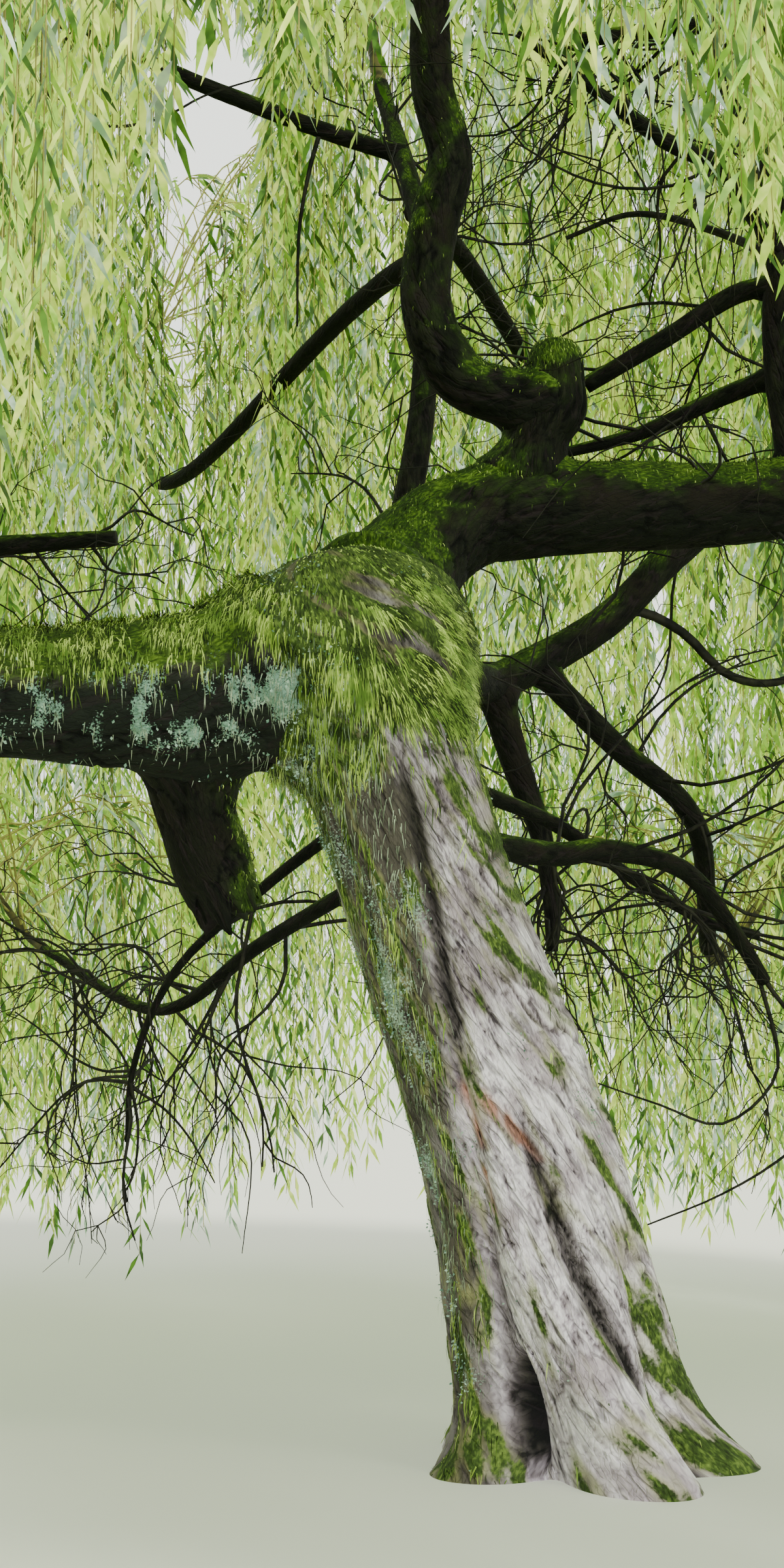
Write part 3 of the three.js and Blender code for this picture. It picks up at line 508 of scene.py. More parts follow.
def branch_path(start, mass):
    """Leaves the parent towards the mass, climbs, and comes into the mass outwards and a little upwards."""
    tip = mass_tip(mass)
    outwards = unit(level(np.array(mass["bearing"])) + UP * 0.75)
    span = np.linalg.norm(tip - start)
    leaving = tip - start
    leaving[2] = max(0.3, leaving[2] * 0.6)
    return bezier(start, start + unit(leaving) * span * 0.35, tip - outwards * span * 0.3, tip)


def limb_path(spec):
    mass = masses.get(spec.get("feeds"))
    if "path" not in spec:
        return branch_path(limbs[spec["parent"]]["path"].at(spec["at"]), mass)
    corners = list(spec["path"])
    if mass:
        corners.append(mass_tip(mass))
    if "follows" in spec:
        corners.insert(0, limbs[spec["follows"]]["path"].at(1))
    return curve_through(corners)


def limb_radius(spec):
    """Quickly down to the waist, if there is one, then an even taper."""
    thick, thin = spec["radii"]
    waist_at, waist = spec.get("waist", (0, thick))

    def radius(t):
        early = mix(thick, waist, smoothstep(t, 0, max(waist_at, 1e-6)))
        return np.where(t < waist_at, early, mix(waist, thin, (t - waist_at) / (1 - waist_at)))

    return radius


def trunk_radius(t, bearing=None):
    """Bole, neck and fork swelling, a rounded shoulder, and ridges and hollows that fade up from the
    roots."""
    radius = mix(BOLE_RADIUS, NECK_RADIUS, smoothstep(t, 0.3, NECK_AT))
    radius = radius + (FORK_RADIUS - NECK_RADIUS) * smoothstep(t, NECK_AT, SHOULDER_AT)
    radius = radius + FLARE * np.exp(-t / FLARE_FADE)
    if bearing is not None:
        signed = [(*lobe, 1) for lobe in ROOT_RIDGES] + [(*lobe, -1) for lobe in ROOT_HOLLOWS]
        for middle, width, out, fade, sign in signed:
            off = turn_between(bearing, middle) / width
            radius = radius + sign * out * np.exp(-off * off - t / fade)
    past = np.clip((t - SHOULDER_AT) / (1 - SHOULDER_AT), 0, 1)
    return radius * np.sqrt(np.maximum(0.0004, 1 - past**2))


limbs = {"trunk": dict(path=curve_through(TRUNK_PATH), radius=trunk_radius)}
for name, spec in LIMBS.items():
    limbs[name] = dict(path=limb_path(spec), radius=limb_radius(spec))
    if "feeds" in spec:
        masses[spec["feeds"]]["limb"] = limbs[name]


def carried_sides(headings, side):
    """At each heading along a line, a side that is carried on without twist, and their cross."""
    sides = []
    for heading in headings:
        side = unit(side - heading * (side @ heading))
        sides.append(side)
    sides = np.array(sides)
    return sides, np.cross(headings, sides)


def skin_distance(name, points):
    """How far points are from a limb's skin: the least distance to a centre point less the radius there."""
    limb = limbs[name]
    shares = np.linspace(0, 1, 90)
    centres, radii = limb["path"].at(shares), limb["radius"](shares)
    best = np.full(len(points), 1e9)
    for centre, radius in zip(centres, radii):
        best = np.minimum(best, np.linalg.norm(points - centre, axis=1) - radius)
    return best


def carried_on(before, limb):
    """One path and radius for a limb and the one before it that it follows."""
    path = Path(np.vstack([before["path"].points, limb["path"].points[1:]]))
    split = before["path"].length / path.length

    def radius(t):
        late = limb["radius"](np.clip((t - split) / (1 - split), 0, 1))
        return np.where(t < split, before["radius"](np.minimum(t / split, 1)), late)

    return path, radius


class Tube:
    """A limb's skin on a grid of rings and bearings: the points, the outward directions, the share of the
    length and the bearing in degrees, counted from the side upwards. The seam is at the back of the trunk
    and under the other limbs."""

    def __init__(self, name, rings, sides, joined=()):
        limb = limbs[name]
        path, radius = limb["path"], limb["radius"]
        if "follows" in LIMBS.get(name, {}):
            path, radius = carried_on(limbs[LIMBS[name]["follows"]], limb)
        is_trunk = name == "trunk"
        self.length = path.length
        self.share = np.linspace(0, 1, rings)[:, None] + np.zeros((1, sides))
        seam = 90 if is_trunk else -90
        self.bearing = seam + np.linspace(0, 360, sides, endpoint=False)[None, :] + np.zeros((rings, 1))
        self.centre = path.at(self.share[:, 0])
        self.height = self.centre[:, 2:] + np.zeros((1, sides))
        self.heading = unit(np.gradient(self.centre, axis=0))
        if is_trunk:
            self.heading = unit(mix(UP, self.heading, smoothstep(self.centre[:, 2:], 0, LEVEL_RINGS_UP_TO)))
        first_side = np.array([1.0, 0, 0]) if is_trunk else np.cross(UP, self.heading[0])
        side, rise = carried_sides(self.heading, first_side)
        turn = np.radians(self.bearing)[..., None]
        self.out = np.cos(turn) * side[:, None] + np.sin(turn) * rise[:, None]
        self.radius = radius(self.share)
        lobed = radius(self.share, self.bearing) if is_trunk else self.radius
        self.points = self.centre[:, None] + self.out * lobed[..., None]
        self.weld(joined)

    def weld(self, joined):
        """Fillets: the skin swells by 0.44 k (1 - d/k)^2 where another limb's skin is within d < k."""
        for other, reach in joined:
            near = abs(skin_distance(other, self.points.reshape(-1, 3))).reshape(self.share.shape)
            swell = 0.44 * reach * np.clip(1 - near / reach, 0, 1)**2
            self.points = self.points + self.out * swell[..., None]

    def push(self, height):
        """Moves the skin outwards by a height field, and keeps it from going below the ground."""
        self.points = self.points + self.out * height[..., None]
        self.points[..., 2] = np.maximum(self.points[..., 2], 0)

    def around(self, cell):
        """How many noise cells of a size go round the limb at its middle."""
        return max(3, round(2 * math.pi * float(np.median(self.radius)) / cell))

    def pattern(self, cell, stretch, seed, slant=0.0):
        """Noise in cells of a size round the limb, stretched along it and slanted."""
        count = self.around(cell)
        x = (self.bearing / 360 + slant * self.share) * count
        return noise(x, self.share * self.length / (cell * stretch), count, seed)

    def normals(self):
        """The skin's own outward directions: the cross of its slopes round and along the limb."""
        round_slope = np.roll(self.points, -1, axis=1) - np.roll(self.points, 1, axis=1)
        return unit(np.cross(round_slope, np.gradient(self.points, axis=0)) + self.out * 1e-9)


# Meshes and materials.

def ring_quads(rings, sides):
    """The quads between rings of corners, each ring closed on itself."""
    j = np.arange(sides)
    k = (j + 1) % sides
    i = np.arange(rings - 1)[:, None] * sides
    return np.stack([i + j, i + k, i + sides + k, i + sides + j], -1).reshape(-1, 4)


def new_piece(name, points, faces, material, slot, nodes, fields=None, uv=None, normals=None):
    """One mesh object in place, riding on the tree's only body and standing for the frame's nodes. Faces are
    arrays of corners, one array for each count of corners."""
    mesh = bpy.data.meshes.new(name)
    mesh.vertices.add(len(points))
    mesh.vertices.foreach_set("co", np.asarray(points, np.float32).ravel())
    totals = np.concatenate([np.full(len(f), f.shape[1]) for f in faces])
    corners = np.concatenate([f.ravel() for f in faces])
    mesh.loops.add(len(corners))
    mesh.loops.foreach_set("vertex_index", corners.astype(np.int32))
    mesh.polygons.add(len(totals))
    starts = np.concatenate([[0], np.cumsum(totals)[:-1]])
    mesh.polygons.foreach_set("loop_start", starts.astype(np.int32))
    mesh.polygons.foreach_set("loop_total", totals.astype(np.int32))
    mesh.update(calc_edges=True)
    for field, values in (fields or {}).items():
        attribute = mesh.attributes.new(field, "FLOAT", "POINT")
        attribute.data.foreach_set("value", np.asarray(values, np.float32).ravel())
    if uv is not None:
        layer = mesh.uv_layers.new(name="bark")
        layer.data.foreach_set("uv", np.asarray(uv, np.float32).ravel())
        mesh.shade_smooth()
    if normals is not None:
        mesh.normals_split_custom_set_from_vertices(normals)
    mesh.materials.append(material)
    piece = bpy.data.objects.new(name, mesh)
    bpy.context.scene.collection.objects.link(piece)
    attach(piece, "root")
    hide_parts(*nodes)


def colour(code):
    """An sRGB hex colour as linear red, green, blue and alpha."""
    parts = [int(code[i:i + 2], 16) / 255 for i in (1, 3, 5)]
    return [p / 12.92 if p <= 0.04045 else ((p + 0.055) / 1.055)**2.4 for p in parts] + [1]


def add_node(tree, kind, settings=None, **sockets):
    """A node with its settings. A socket takes a value, or a link from another node's output."""
    node = tree.nodes.new(kind)
    for key, value in (settings or {}).items():
        setattr(node, key, value)
    for key, value in sockets.items():
        numbered = key[0] == "n" and key[1:].isdigit()
        socket = node.inputs[int(key[1:]) if numbered else key.replace("_", " ")]
        if isinstance(value, bpy.types.NodeSocket):
            tree.links.new(value, socket)
        else:
            socket.default_value = value
    return node


def ramp(tree, factor, stops):
    """A colour ramp over a factor, from (place, hex colour) stops."""
    node = add_node(tree, "ShaderNodeValToRGB", Fac=factor)
    elements = node.color_ramp.elements
    for place, code in stops[2:]:
        elements.new(place)
    for element, (place, code) in zip(elements, stops):
        element.position = place
        element.color = colour(code)
    return node.outputs["Color"]


def blend(tree, factor, a, b):
    """Colour a where the factor is 0, and b where it is 1. Each is a hex colour or another node's output."""
    a, b = (colour(tint) if isinstance(tint, str) else tint for tint in (a, b))
    node = add_node(tree, "ShaderNodeMix", {"data_type": "RGBA"}, n0=factor, n6=a, n7=b)
    return node.outputs[2]


def grown(tree, value, low, high):
    """0 below low and 1 above high, with a smooth rise."""
    settings = {"interpolation_type": "SMOOTHSTEP"}
    node = add_node(tree, "ShaderNodeMapRange", settings, Value=value, From_Min=low, From_Max=high)
    return node.outputs["Result"]


def weighed(tree, base, *terms):
    """A value plus other values times their weights."""
    for value, weight in terms:
        settings = {"operation": "MULTIPLY_ADD"}
        base = add_node(tree, "ShaderNodeMath", settings, n0=value, n1=weight, n2=base).outputs[0]
    return base


def material_named(name, roughness, specular):
    """A material with its node tree and its one shader."""
    material = bpy.data.materials.new(name)
    material.use_nodes = True
    shader = material.node_tree.nodes["Principled BSDF"]
    shader.inputs["Roughness"].default_value = roughness
    shader.inputs["Specular IOR Level"].default_value = specular
    return material, material.node_tree, shader


def speckle(tree, place, grain_mm, detail=3):
    """Noise from 0 to 1 whose coarsest grains are a real size across."""
    scale = 1000 / grain_mm
    return add_node(tree, "ShaderNodeTexNoise", Vector=place, Scale=scale, Detail=detail).outputs["Fac"]


def mapped(tree, skin, settings=None, **sockets):
    """The skin's map, moved to other places."""
    return add_node(tree, "ShaderNodeMapping", settings, n0=skin, **sockets).outputs[0]


def drawn_out(tree, skin, lean):
    """The skin's map with everything on it six times as long, leaning from the limb's axis."""
    return mapped(tree, skin, {"vector_type": "TEXTURE"}, Rotation=(0, 0, lean), Scale=(1, 6, 1))


def fissures(tree, skin, across_mm, lean):
    """Fine cracks in dashes: contour lines of drawn-out noise, broken up by a second noise."""
    place = drawn_out(tree, skin, lean)
    hills = speckle(tree, place, across_mm, 1)
    near_side, far_side = grown(tree, hills, 0.455, 0.49), grown(tree, hills, 0.51, 0.545)
    line = weighed(tree, 0.0, (near_side, 1.0), (far_side, -1.0))
    broken = grown(tree, speckle(tree, place, across_mm * 0.8, 1), 0.44, 0.56)
    return weighed(tree, 0.0, (line, broken))


def flakes(tree, skin):
    """0 on the hair cracks between flakes about 14 by 45 mm, and 1 inside a flake."""
    place = mapped(tree, skin, Scale=(72, 22, 1))
    bent = add_node(tree, "ShaderNodeTexNoise", Vector=place, Scale=0.8, Detail=2).outputs["Color"]
    settings = {"operation": "MULTIPLY_ADD"}
    place = add_node(tree, "ShaderNodeVectorMath", settings, n0=bent, n1=(1.4, 1.4, 0), n2=place).outputs[0]
    settings = {"feature": "DISTANCE_TO_EDGE"}
    edge = add_node(tree, "ShaderNodeTexVoronoi", settings, Vector=place, Scale=1).outputs["Distance"]
    return grown(tree, edge, 0.0, 0.12)


SKIN_FIELDS = ("crest", "tint", "moss", "flank", "lichen", "torn")
BARK_ROUGHNESS = 0.88
CRACK_SHADE, CRACK_WEIGHT = "#241d1f", 0.62


def bark_material(name, specular, tints):
    """Cracked willow bark. Crests are pale and cracks dark, plate by plate, with patches of a second tint, a
    darker flank that is painted shade on undersides, shaded sides, grooves and hollows and also darkens
    scars and the upper bole, raw torn strips, crusts of lichen, and moss that thickens by its own field."""
    material, tree, shader = material_named(name, BARK_ROUGHNESS, specular)
    coordinates = add_node(tree, "ShaderNodeTexCoord")
    place, skin = coordinates.outputs["Object"], coordinates.outputs["UV"]
    field = {key: add_node(tree, "ShaderNodeAttribute", {"attribute_name": key}).outputs["Fac"]
             for key in SKIN_FIELDS}
    fine, slow = speckle(tree, place, 18), speckle(tree, place, 130)
    fibre = speckle(tree, drawn_out(tree, skin, 0.22), 12, 4)
    flake = flakes(tree, skin)
    crack = weighed(tree, 0.0, (fissures(tree, skin, 54, 0.25), 0.75), (fissures(tree, skin, 32, 0.3), 0.7))
    # Painted shade: the crest field that this lightness follows is lowered in the trunk's grooves and
    # cavity.
    worn = weighed(tree, -0.9, (field["crest"], 0.75), (fibre, 0.95), (field["tint"], 0.35), (flake, 0.06),
                   (slow, 0.5))
    # The film is a thin green one that the bark shows through, before the moss grows thick.
    film = grown(tree, weighed(tree, 0.0, (field["moss"], 1.0), (slow, 0.5)), 0.3, 0.75)
    layers = {"patch": grown(tree, speckle(tree, place, 240, 2), 0.5, 0.62), "flank": field["flank"],
              "film": weighed(tree, 0.0, (film, 0.6)), "torn": field["torn"]}
    wood = ramp(tree, worn, tints["bark"])
    for layer, share in layers.items():
        wood = blend(tree, share, wood, blend(tree, worn, *tints[layer]))
    wood = blend(tree, weighed(tree, 0.0, (crack, CRACK_WEIGHT)), wood, CRACK_SHADE)
    # Lichen in a stipple of 8 mm grains that close up where it is thickest.
    grains = speckle(tree, place, 8, 2)
    crust = grown(tree, weighed(tree, 0.0, (field["lichen"], 0.8), (grains, 1.2)), 0.98, 1.12)
    wood = blend(tree, crust, wood, blend(tree, fine, *tints["lichen"]))
    strands = speckle(tree, mapped(tree, skin, Scale=(1, 0.3, 1)), 7)
    shaggy = weighed(tree, 0.0, (strands, 0.6), (speckle(tree, place, 90, 2), 0.4))
    felt = ramp(tree, shaggy, list(zip((0.32, 0.5, 0.68), tints["moss"])))
    cover = grown(tree, weighed(tree, 0.0, (field["moss"], 1.0), (fine, 0.35), (fibre, 0.25)), 0.66, 0.84)
    tree.links.new(blend(tree, cover, wood, felt), shader.inputs["Base Color"])
    grain = weighed(tree, 0.0, (fibre, 0.8), (fine, 0.4), (flake, 0.3), (crack, -0.9))
    bump = add_node(tree, "ShaderNodeBump", Height=grain, Strength=0.85, Distance=0.007)
    tree.links.new(bump.outputs["Normal"], shader.inputs["Normal"])
    return material


def leafy_material(name, dark, light, roughness=0.4, specular=0.5):
    """Thin leaf, shoot or moss tissue: two near tints that change over a few centimetres."""
    material, tree, shader = material_named(name, roughness, specular)
    place = add_node(tree, "ShaderNodeTexCoord").outputs["Object"]
    tint = grown(tree, speckle(tree, place, 60, 2), 0.35, 0.65)
    tree.links.new(blend(tree, tint, dark, light), shader.inputs["Base Color"])
    return material


def skin_map(tube, first, last):
    """The map of a tube's quads from ring first to ring last, in metres round the limb and along it."""
    sides = tube.share.shape[1]
    j = np.arange(sides)
    wide = 2 * math.pi * float(np.median(tube.radius))
    u = np.stack([j, j + 1, j + 1, j], -1)[None] / sides * wide
    v = tube.share[first:last + 1, 0] * tube.length
    v = np.stack([v[:-1], v[:-1], v[1:], v[1:]], -1)[:, None]
    return np.stack(np.broadcast_arrays(u, v), -1).reshape(-1, 2)


def fan(rim, middle, backwards):
    """Triangles from a middle corner to the corners of a rim."""
    following = np.roll(rim, -1)
    edges = (following, rim) if backwards else (rim, following)
    return np.stack([np.full(len(rim), middle), *edges], -1)


def skin_piece(name, tubes, material, slot, nodes, rings=None):
    """Joins tubes into one piece: each grid closed round the limb, with a fan over each end. Given rings, it
    is only that stretch of one long tube, open where the next stretch goes on."""
    points, quads, fans, maps, normals = [], [], [], [], []
    fields = {key: [] for key in SKIN_FIELDS}
    base = 0
    for tube in tubes:
        count, sides = tube.share.shape
        first, last = rings or (0, count - 1)
        stretch = slice(first, last + 1)
        ends = [ring for ring in (0, count - 1) if first <= ring <= last]
        quads.append(base + ring_quads(last + 1 - first, sides))
        maps.append(skin_map(tube, first, last))
        points += [tube.points[stretch].reshape(-1, 3), tube.points[ends].mean(1)]
        outwards = tube.heading[ends] * np.sign(np.array(ends) - 0.5)[:, None]
        normals += [tube.normals()[stretch].reshape(-1, 3), outwards]
        for key, values in fields.items():
            field = getattr(tube, key, np.zeros(tube.share.shape))
            values += [field[stretch].ravel(), field[ends].mean(1)]
        middle = base + (last + 1 - first) * sides
        for number, ring in enumerate(ends):
            rim = base + (ring - first) * sides + np.arange(sides)
            fans.append(fan(rim, middle + number, ring == 0))
        base = middle + len(ends)
    joined_fields = {key: np.concatenate(values) for key, values in fields.items()}
    faces = [np.concatenate(quads)] + ([np.concatenate(fans)] if fans else [])
    uv = np.concatenate(maps + [np.zeros((len(f) * 3, 2)) for f in faces[1:]])
    new_piece(name, np.concatenate(points), faces, material, slot, nodes, joined_fields, uv,
              np.concatenate(normals) if rings else None)


# Bark relief.

def plates(x, y, around, seed):
    """Cells round jittered points, one to each unit square, that come round again after `around` squares of
    x: how much further the second nearest point is than the nearest, which is 0 on a border, and a random
    tint for each cell."""
    row, column = np.floor(y).astype(int), np.floor(x).astype(int)
    u, v = x - column, y - row
    row -= row.min()
    rng = np.random.default_rng(seed)
    jitter = 0.1 + 0.8 * rng.random((around, row.max() + 3, 2))
    tints = rng.random((around, row.max() + 3))
    nearest, second, tint = np.full(x.shape, 9.0), np.full(x.shape, 9.0), np.zeros(x.shape)
    for i in (-1, 0, 1):
        for j in (-1, 0, 1):
            cell = (column + i) % around, row + j + 1
            distance = np.hypot(i + jitter[cell][..., 0] - u, j + jitter[cell][..., 1] - v)
            closer = distance < nearest
            second = np.where(closer, nearest, np.minimum(second, distance))
            tint = np.where(closer, tints[cell], tint)
            nearest = np.minimum(distance, nearest)
    return second - nearest, tint


def cracks(tube, cell, stretch, seed, slant):
    """How open the cracks between long bark plates are, from 0 to 1, on lines bent by slower noise, and each
    plate's tint. Slower noise again closes some of the cracks."""
    count = tube.around(cell)
    x = (tube.bearing / 360 + slant * tube.share) * count + 0.7 * tube.pattern(cell * 2.5, 2.5, seed + 1)
    y = tube.share * tube.length / (cell * stretch) + 0.5 * tube.pattern(cell * 2, 2, seed + 2)
    edge, tint = plates(x, y, count, seed)
    open_share = smoothstep(tube.pattern(cell * 2.2, 3, seed + 3), -0.28, 0.12)
    return (1 - smoothstep(edge, 0.01, 0.2)) * open_share, tint


def fissure_lines(tube, cell, stretch, seed, slant):
    """Long wandering fissures, from 0 to 1: narrow bands where drawn-out noise crosses zero, broken by wider
    noise."""
    hills = tube.pattern(cell, stretch, seed, slant)
    hills = hills + 0.35 * tube.pattern(cell * 0.4, stretch, seed + 1, slant)
    broken = smoothstep(tube.pattern(cell * 1.3, stretch * 0.6, seed + 2, slant), -0.2, 0.1)
    return swell(hills, 0.055) * broken


def dress_limb(tube, seed, cell, depth, extra_moss):
    """Bark of an upper limb: cracked plates, lumps, and moss on what faces the sky."""
    scale = np.clip(tube.radius / 0.1, 0.3, 1)
    crack, tint = cracks(tube, cell, 3.5, seed, 0.2)
    lumps = tube.pattern(0.16, 1.6, seed + 5) * 0.06 * tube.radius
    facing = tube.out[..., 2]
    patchy = tube.pattern(0.12, 1.8, seed + 7) + 0.6 * tube.pattern(0.035, 1.6, seed + 8)
    tube.crest = 1 - crack
    tube.tint = tint
    tube.moss = np.clip(facing * 0.85 + 0.1 + patchy * 0.55 + extra_moss, 0, 1)
    # Painted shade: the flank field darkens the underside, which faces away from the sky.
    tube.flank = smoothstep(-facing, -0.1, 0.6)
    tube.push(lumps - depth * scale * crack + 0.008 * tube.moss * scale)


class Bole(Tube):
    """The trunk's skin: swellings, fissures that slant across its right side, plates, torn strips, a worn
    scar and a cavity between two roots, under moss that streaks along it and thickens over the shoulder."""

    def off(self, bearing):
        return turn_between(self.bearing, bearing)

    def lines_at(self, lines, widened=1.0, fade_length=0.35):
        """Long swellings and grooves: Gaussians across the bearing whose middle wanders with height."""
        total = np.zeros(self.share.shape)
        for out, width, marks in lines:
            heights, bearings = zip(*marks)
            middle = np.interp(self.height, heights, bearings)
            fade = (smoothstep(heights[-1] + fade_length - self.height, 0, fade_length)
                    * smoothstep(self.height - heights[0] + fade_length / 3, 0, fade_length / 3))
            total += out * fade * swell(self.off(middle), width * widened)
        return total

    def mark(self):
        """The fields that both the cover and the relief follow."""
        self.lines = self.lines_at(BOLE_LINES)
        self.grooves = smoothstep(-self.lines, 0.012, 0.05)
        self.tears = np.clip(self.lines_at(TORN_STRIPS, 1.0, 0.06), 0, 1)
        hollow = ((self.off(CAVITY["bearing"]) / CAVITY["width"])**2
                  + ((self.height - CAVITY["height"]) / CAVITY["tall"])**2)
        self.cavity = np.exp(-hollow**2)
        self.scar = np.exp(-(self.off(SCAR["bearing"]) / SCAR["width"])**4
                           - ((self.height - SCAR["height"]) / SCAR["tall"])**4)
        self.rough = 1 - 0.7 * self.scar
        self.slant = BARK_SLANT * swell(self.off(-55), 75)
        self.coarse = fissure_lines(self, 0.085, 5, 31, self.slant)
        self.finer, self.plate_tint = cracks(self, 0.03, 3.2, 41, self.slant)
        groove = np.interp(self.height, *LEFT_GROOVE)
        self.left = smoothstep(turn_between(groove, self.bearing), 0, 14) * smoothstep(self.off(150), 0, 60)
        self.shoulder = smoothstep(self.height, 2.4, 2.72)
        self.combed = self.pattern(0.12, 2.2, 73, COMB_SLANT) + 0.7 * self.pattern(0.05, 2.5, 74, COMB_SLANT)

    def cover(self):
        """The fields that the bark's material shows and the moss and lichen grow by."""
        right_edge, back = swell(self.off(-12), 32), swell(self.off(100), 70)
        upper = smoothstep(self.height, 1.2, 2.3)
        roots = np.exp(-self.height / 0.22)
        dapple = 0.5 + self.pattern(0.12, 3, 65)
        streaks = self.pattern(0.07, 6, 71, self.slant) + 0.8 * self.pattern(0.03, 5, 72, self.slant)
        bare = 0.95 * self.scar + 1.2 * self.cavity + 0.3 * self.grooves
        # Painted shade: the grooves and the cavity lower the crest field, which the bark's colour follows,
        # so they come out darker.
        self.crest = np.clip(1 - 0.55 * self.coarse * self.rough - 0.35 * self.finer * self.rough
                             - 0.5 * self.grooves - self.cavity, 0, 1)
        tint = 0.35 * self.plate_tint + 0.7 * self.pattern(0.2, 2, 63) + 0.25 - 0.35 * upper
        self.tint = np.clip(tint, 0, 1)
        moss = 0.1 + mix(streaks * 1.1, self.combed * 1.5, self.shoulder)
        moss = moss + 0.42 * right_edge + 0.4 * back + 0.42 * self.shoulder
        moss += 0.22 * upper + 0.15 * roots - bare
        sheltered = np.clip(self.shoulder + 0.8 * self.left + 0.7 * roots + 0.6 * back, 0, 1)
        self.moss = np.clip(moss, 0, 1) * mix(0.66, 1.0, sheltered)
        # The flank field is painted shade on the shaded left side, the cavity, the grooves and the bark
        # between the shoulder's moss; it also darkens the scar and, in patches, the upper bole.
        self.flank = np.clip((0.85 + 0.3 * dapple) * self.left + 1.6 * self.cavity + 0.7 * self.grooves
                             + 0.35 * upper * dapple + 0.3 * self.scar + 0.75 * self.shoulder, 0, 1)
        lichen = np.clip(0.4 * self.left + 0.9 * self.pattern(0.14, 2, 81) - 0.1, 0, 1)
        self.lichen = lichen * (1 - self.scar) * (1 - roots)
        raw = (1.2 + 1.2 * self.pattern(0.04, 3, 66)) * self.lines_at(TORN_STRIPS, 2.0, 0.06)
        self.torn = np.clip(raw - 0.3 * self.tears, 0, 1)

    def relief(self):
        """How far the skin stands out from the even one, after its cover is known."""
        relief = self.lines - CAVITY["deep"] * self.cavity - 0.02 * self.tears
        relief -= (0.011 * self.coarse + 0.006 * self.finer) * self.rough
        relief += (0.003 * self.plate_tint + 0.018 * self.pattern(0.3, 2, 61)
                   + 0.008 * self.pattern(0.09, 3, 62, self.slant)
                   + 0.004 * self.pattern(0.03, 5, 64, self.slant)) * self.rough
        relief += (0.008 + 0.022 * self.shoulder * np.clip(0.5 + self.combed, 0, 1)) * self.moss
        relief *= smoothstep(self.height, -0.01, 0.05)
        for depth, bearing, width, at, rise in DRAWN_IN:
            relief -= depth * np.exp(-(self.off(bearing) / width)**2 - ((self.height - at) / rise)**2)
        return relief


def dress_left_bough(tube):
    """The left bough: thick moss on its top, crusty lichen on its front and lower half, and painted shade
    below.
    """
    facing = tube.out[..., 2]
    clumps = tube.pattern(0.11, 1.2, 111) + 0.7 * tube.pattern(0.045, 1.1, 112)
    crusty = swell(facing + 0.32, 0.5)
    tube.lichen = np.clip(crusty * (0.42 + 1.5 * clumps), 0, 1)
    # Painted shade: the flank field darkens the underside.
    tube.flank = smoothstep(-facing, -0.35, 0.1)
    tube.push(crusty * 0.035 * np.clip(clumps, 0, 1))
    on_top, below = smoothstep(facing, 0.0, 0.5), smoothstep(-facing, 0.0, 0.3)
    tube.moss = np.clip(tube.moss + 0.3 * on_top - 0.5 * below, 0, 1)
    tube.moss *= 1 - 0.8 * smoothstep(tube.share, 0.26, 0.34)


# Weathered willow bark is rough and dry, so it has little shine: pale lilac-grey plates over near-black
# cracks. The moss tints run from its shade to its tips. Its flank tint is painted shade where the flank
# field is high, and darker bark on the scar and upper bole.
WEATHERED_BARK = bark_material("weathered_willow_bark", 0.25, dict(
    bark=[(0.05, "#2a2425"), (0.3, "#746a70"), (0.58, "#b0a6af"), (0.95, "#e8e1e8")],
    patch=("#43393f", "#b9acb4"), flank=("#0d0f0b", "#575249"), film=("#151d0a", "#96985c"),
    torn=("#4c2a20", "#b08472"), lichen=("#5f7768", "#a0b19f"), moss=("#151d0a", "#374b1b", "#71883a")))
# The left bough's bark is in deep shade under its moss, so it is painted near-black as painted shade,
# between blue-green crusts of lichen.
MOSSY_BARK = bark_material("mossy_willow_bark", 0.12, dict(
    bark=[(0.05, "#0b0b09"), (0.4, "#1e1f19"), (0.7, "#383831"), (1.0, "#5c5856")],
    patch=("#1b1816", "#514843"), flank=("#070907", "#1c211b"), film=("#18210b", "#363e22"),
    torn=("#2b1710", "#7a5a48"), lichen=("#4b6f5e", "#8fb09c"), moss=("#18210b", "#334a17", "#65802c")))
# The inner limbs are in the crown's shade, so their bark is painted near-black as painted shade, with hardly
# any shine, and green on top.
SHADED_BARK = bark_material("shaded_willow_bark", 0.12, dict(
    bark=[(0.05, "#040503"), (0.4, "#0a0b08"), (0.7, "#12140e"), (1.0, "#212219")],
    patch=("#080906", "#1e1b15"), flank=("#070a06", "#11150d"), film=("#131c08", "#263a10"),
    torn=("#1c120c", "#4d3a2c"), lichen=("#2c3a31", "#4c5b4e"), moss=("#131c08", "#2b4212", "#5d7a28")))


# Foliage: every mass grows again by the frame's rule, with more shoots, hanging strands and narrow leaves.

limb_points, limb_girths = [], []
for limb in limbs.values():
    spots = np.linspace(0, 1, max(3, int(limb["path"].length / 0.08)))
    limb_points.append(limb["path"].at(spots))
    limb_girths.append(limb["radius"](spots))
limb_points = np.concatenate(limb_points)
limb_girths = np.concatenate(limb_girths)


def clear_of_limbs(p, reach):
    """Whether points keep a reach clear of every limb."""
    flat = p.reshape(-1, 3)
    clear = np.ones(len(flat), bool)
    for centre, girth in zip(limb_points, limb_girths):
        clear &= ((flat - centre)**2).sum(1) > (girth + reach)**2
    return clear.reshape(p.shape[:-1])


def in_sky_window(p):
    """Whether points lie in the narrow gap in the crown through which the sky shows, seen from the front."""
    away = p[..., 1] - CLEAR_APEX[1]
    across = ((p[..., 0] - CLEAR_APEX[0]) / away - SKY_WINDOW["across"]) / SKY_WINDOW["half_width"]
    above = ((p[..., 2] - CLEAR_APEX[2]) / away - SKY_WINDOW["above"]) / SKY_WINDOW["half_height"]
    return (across**2 + above**2 < 1) & (away > 0)


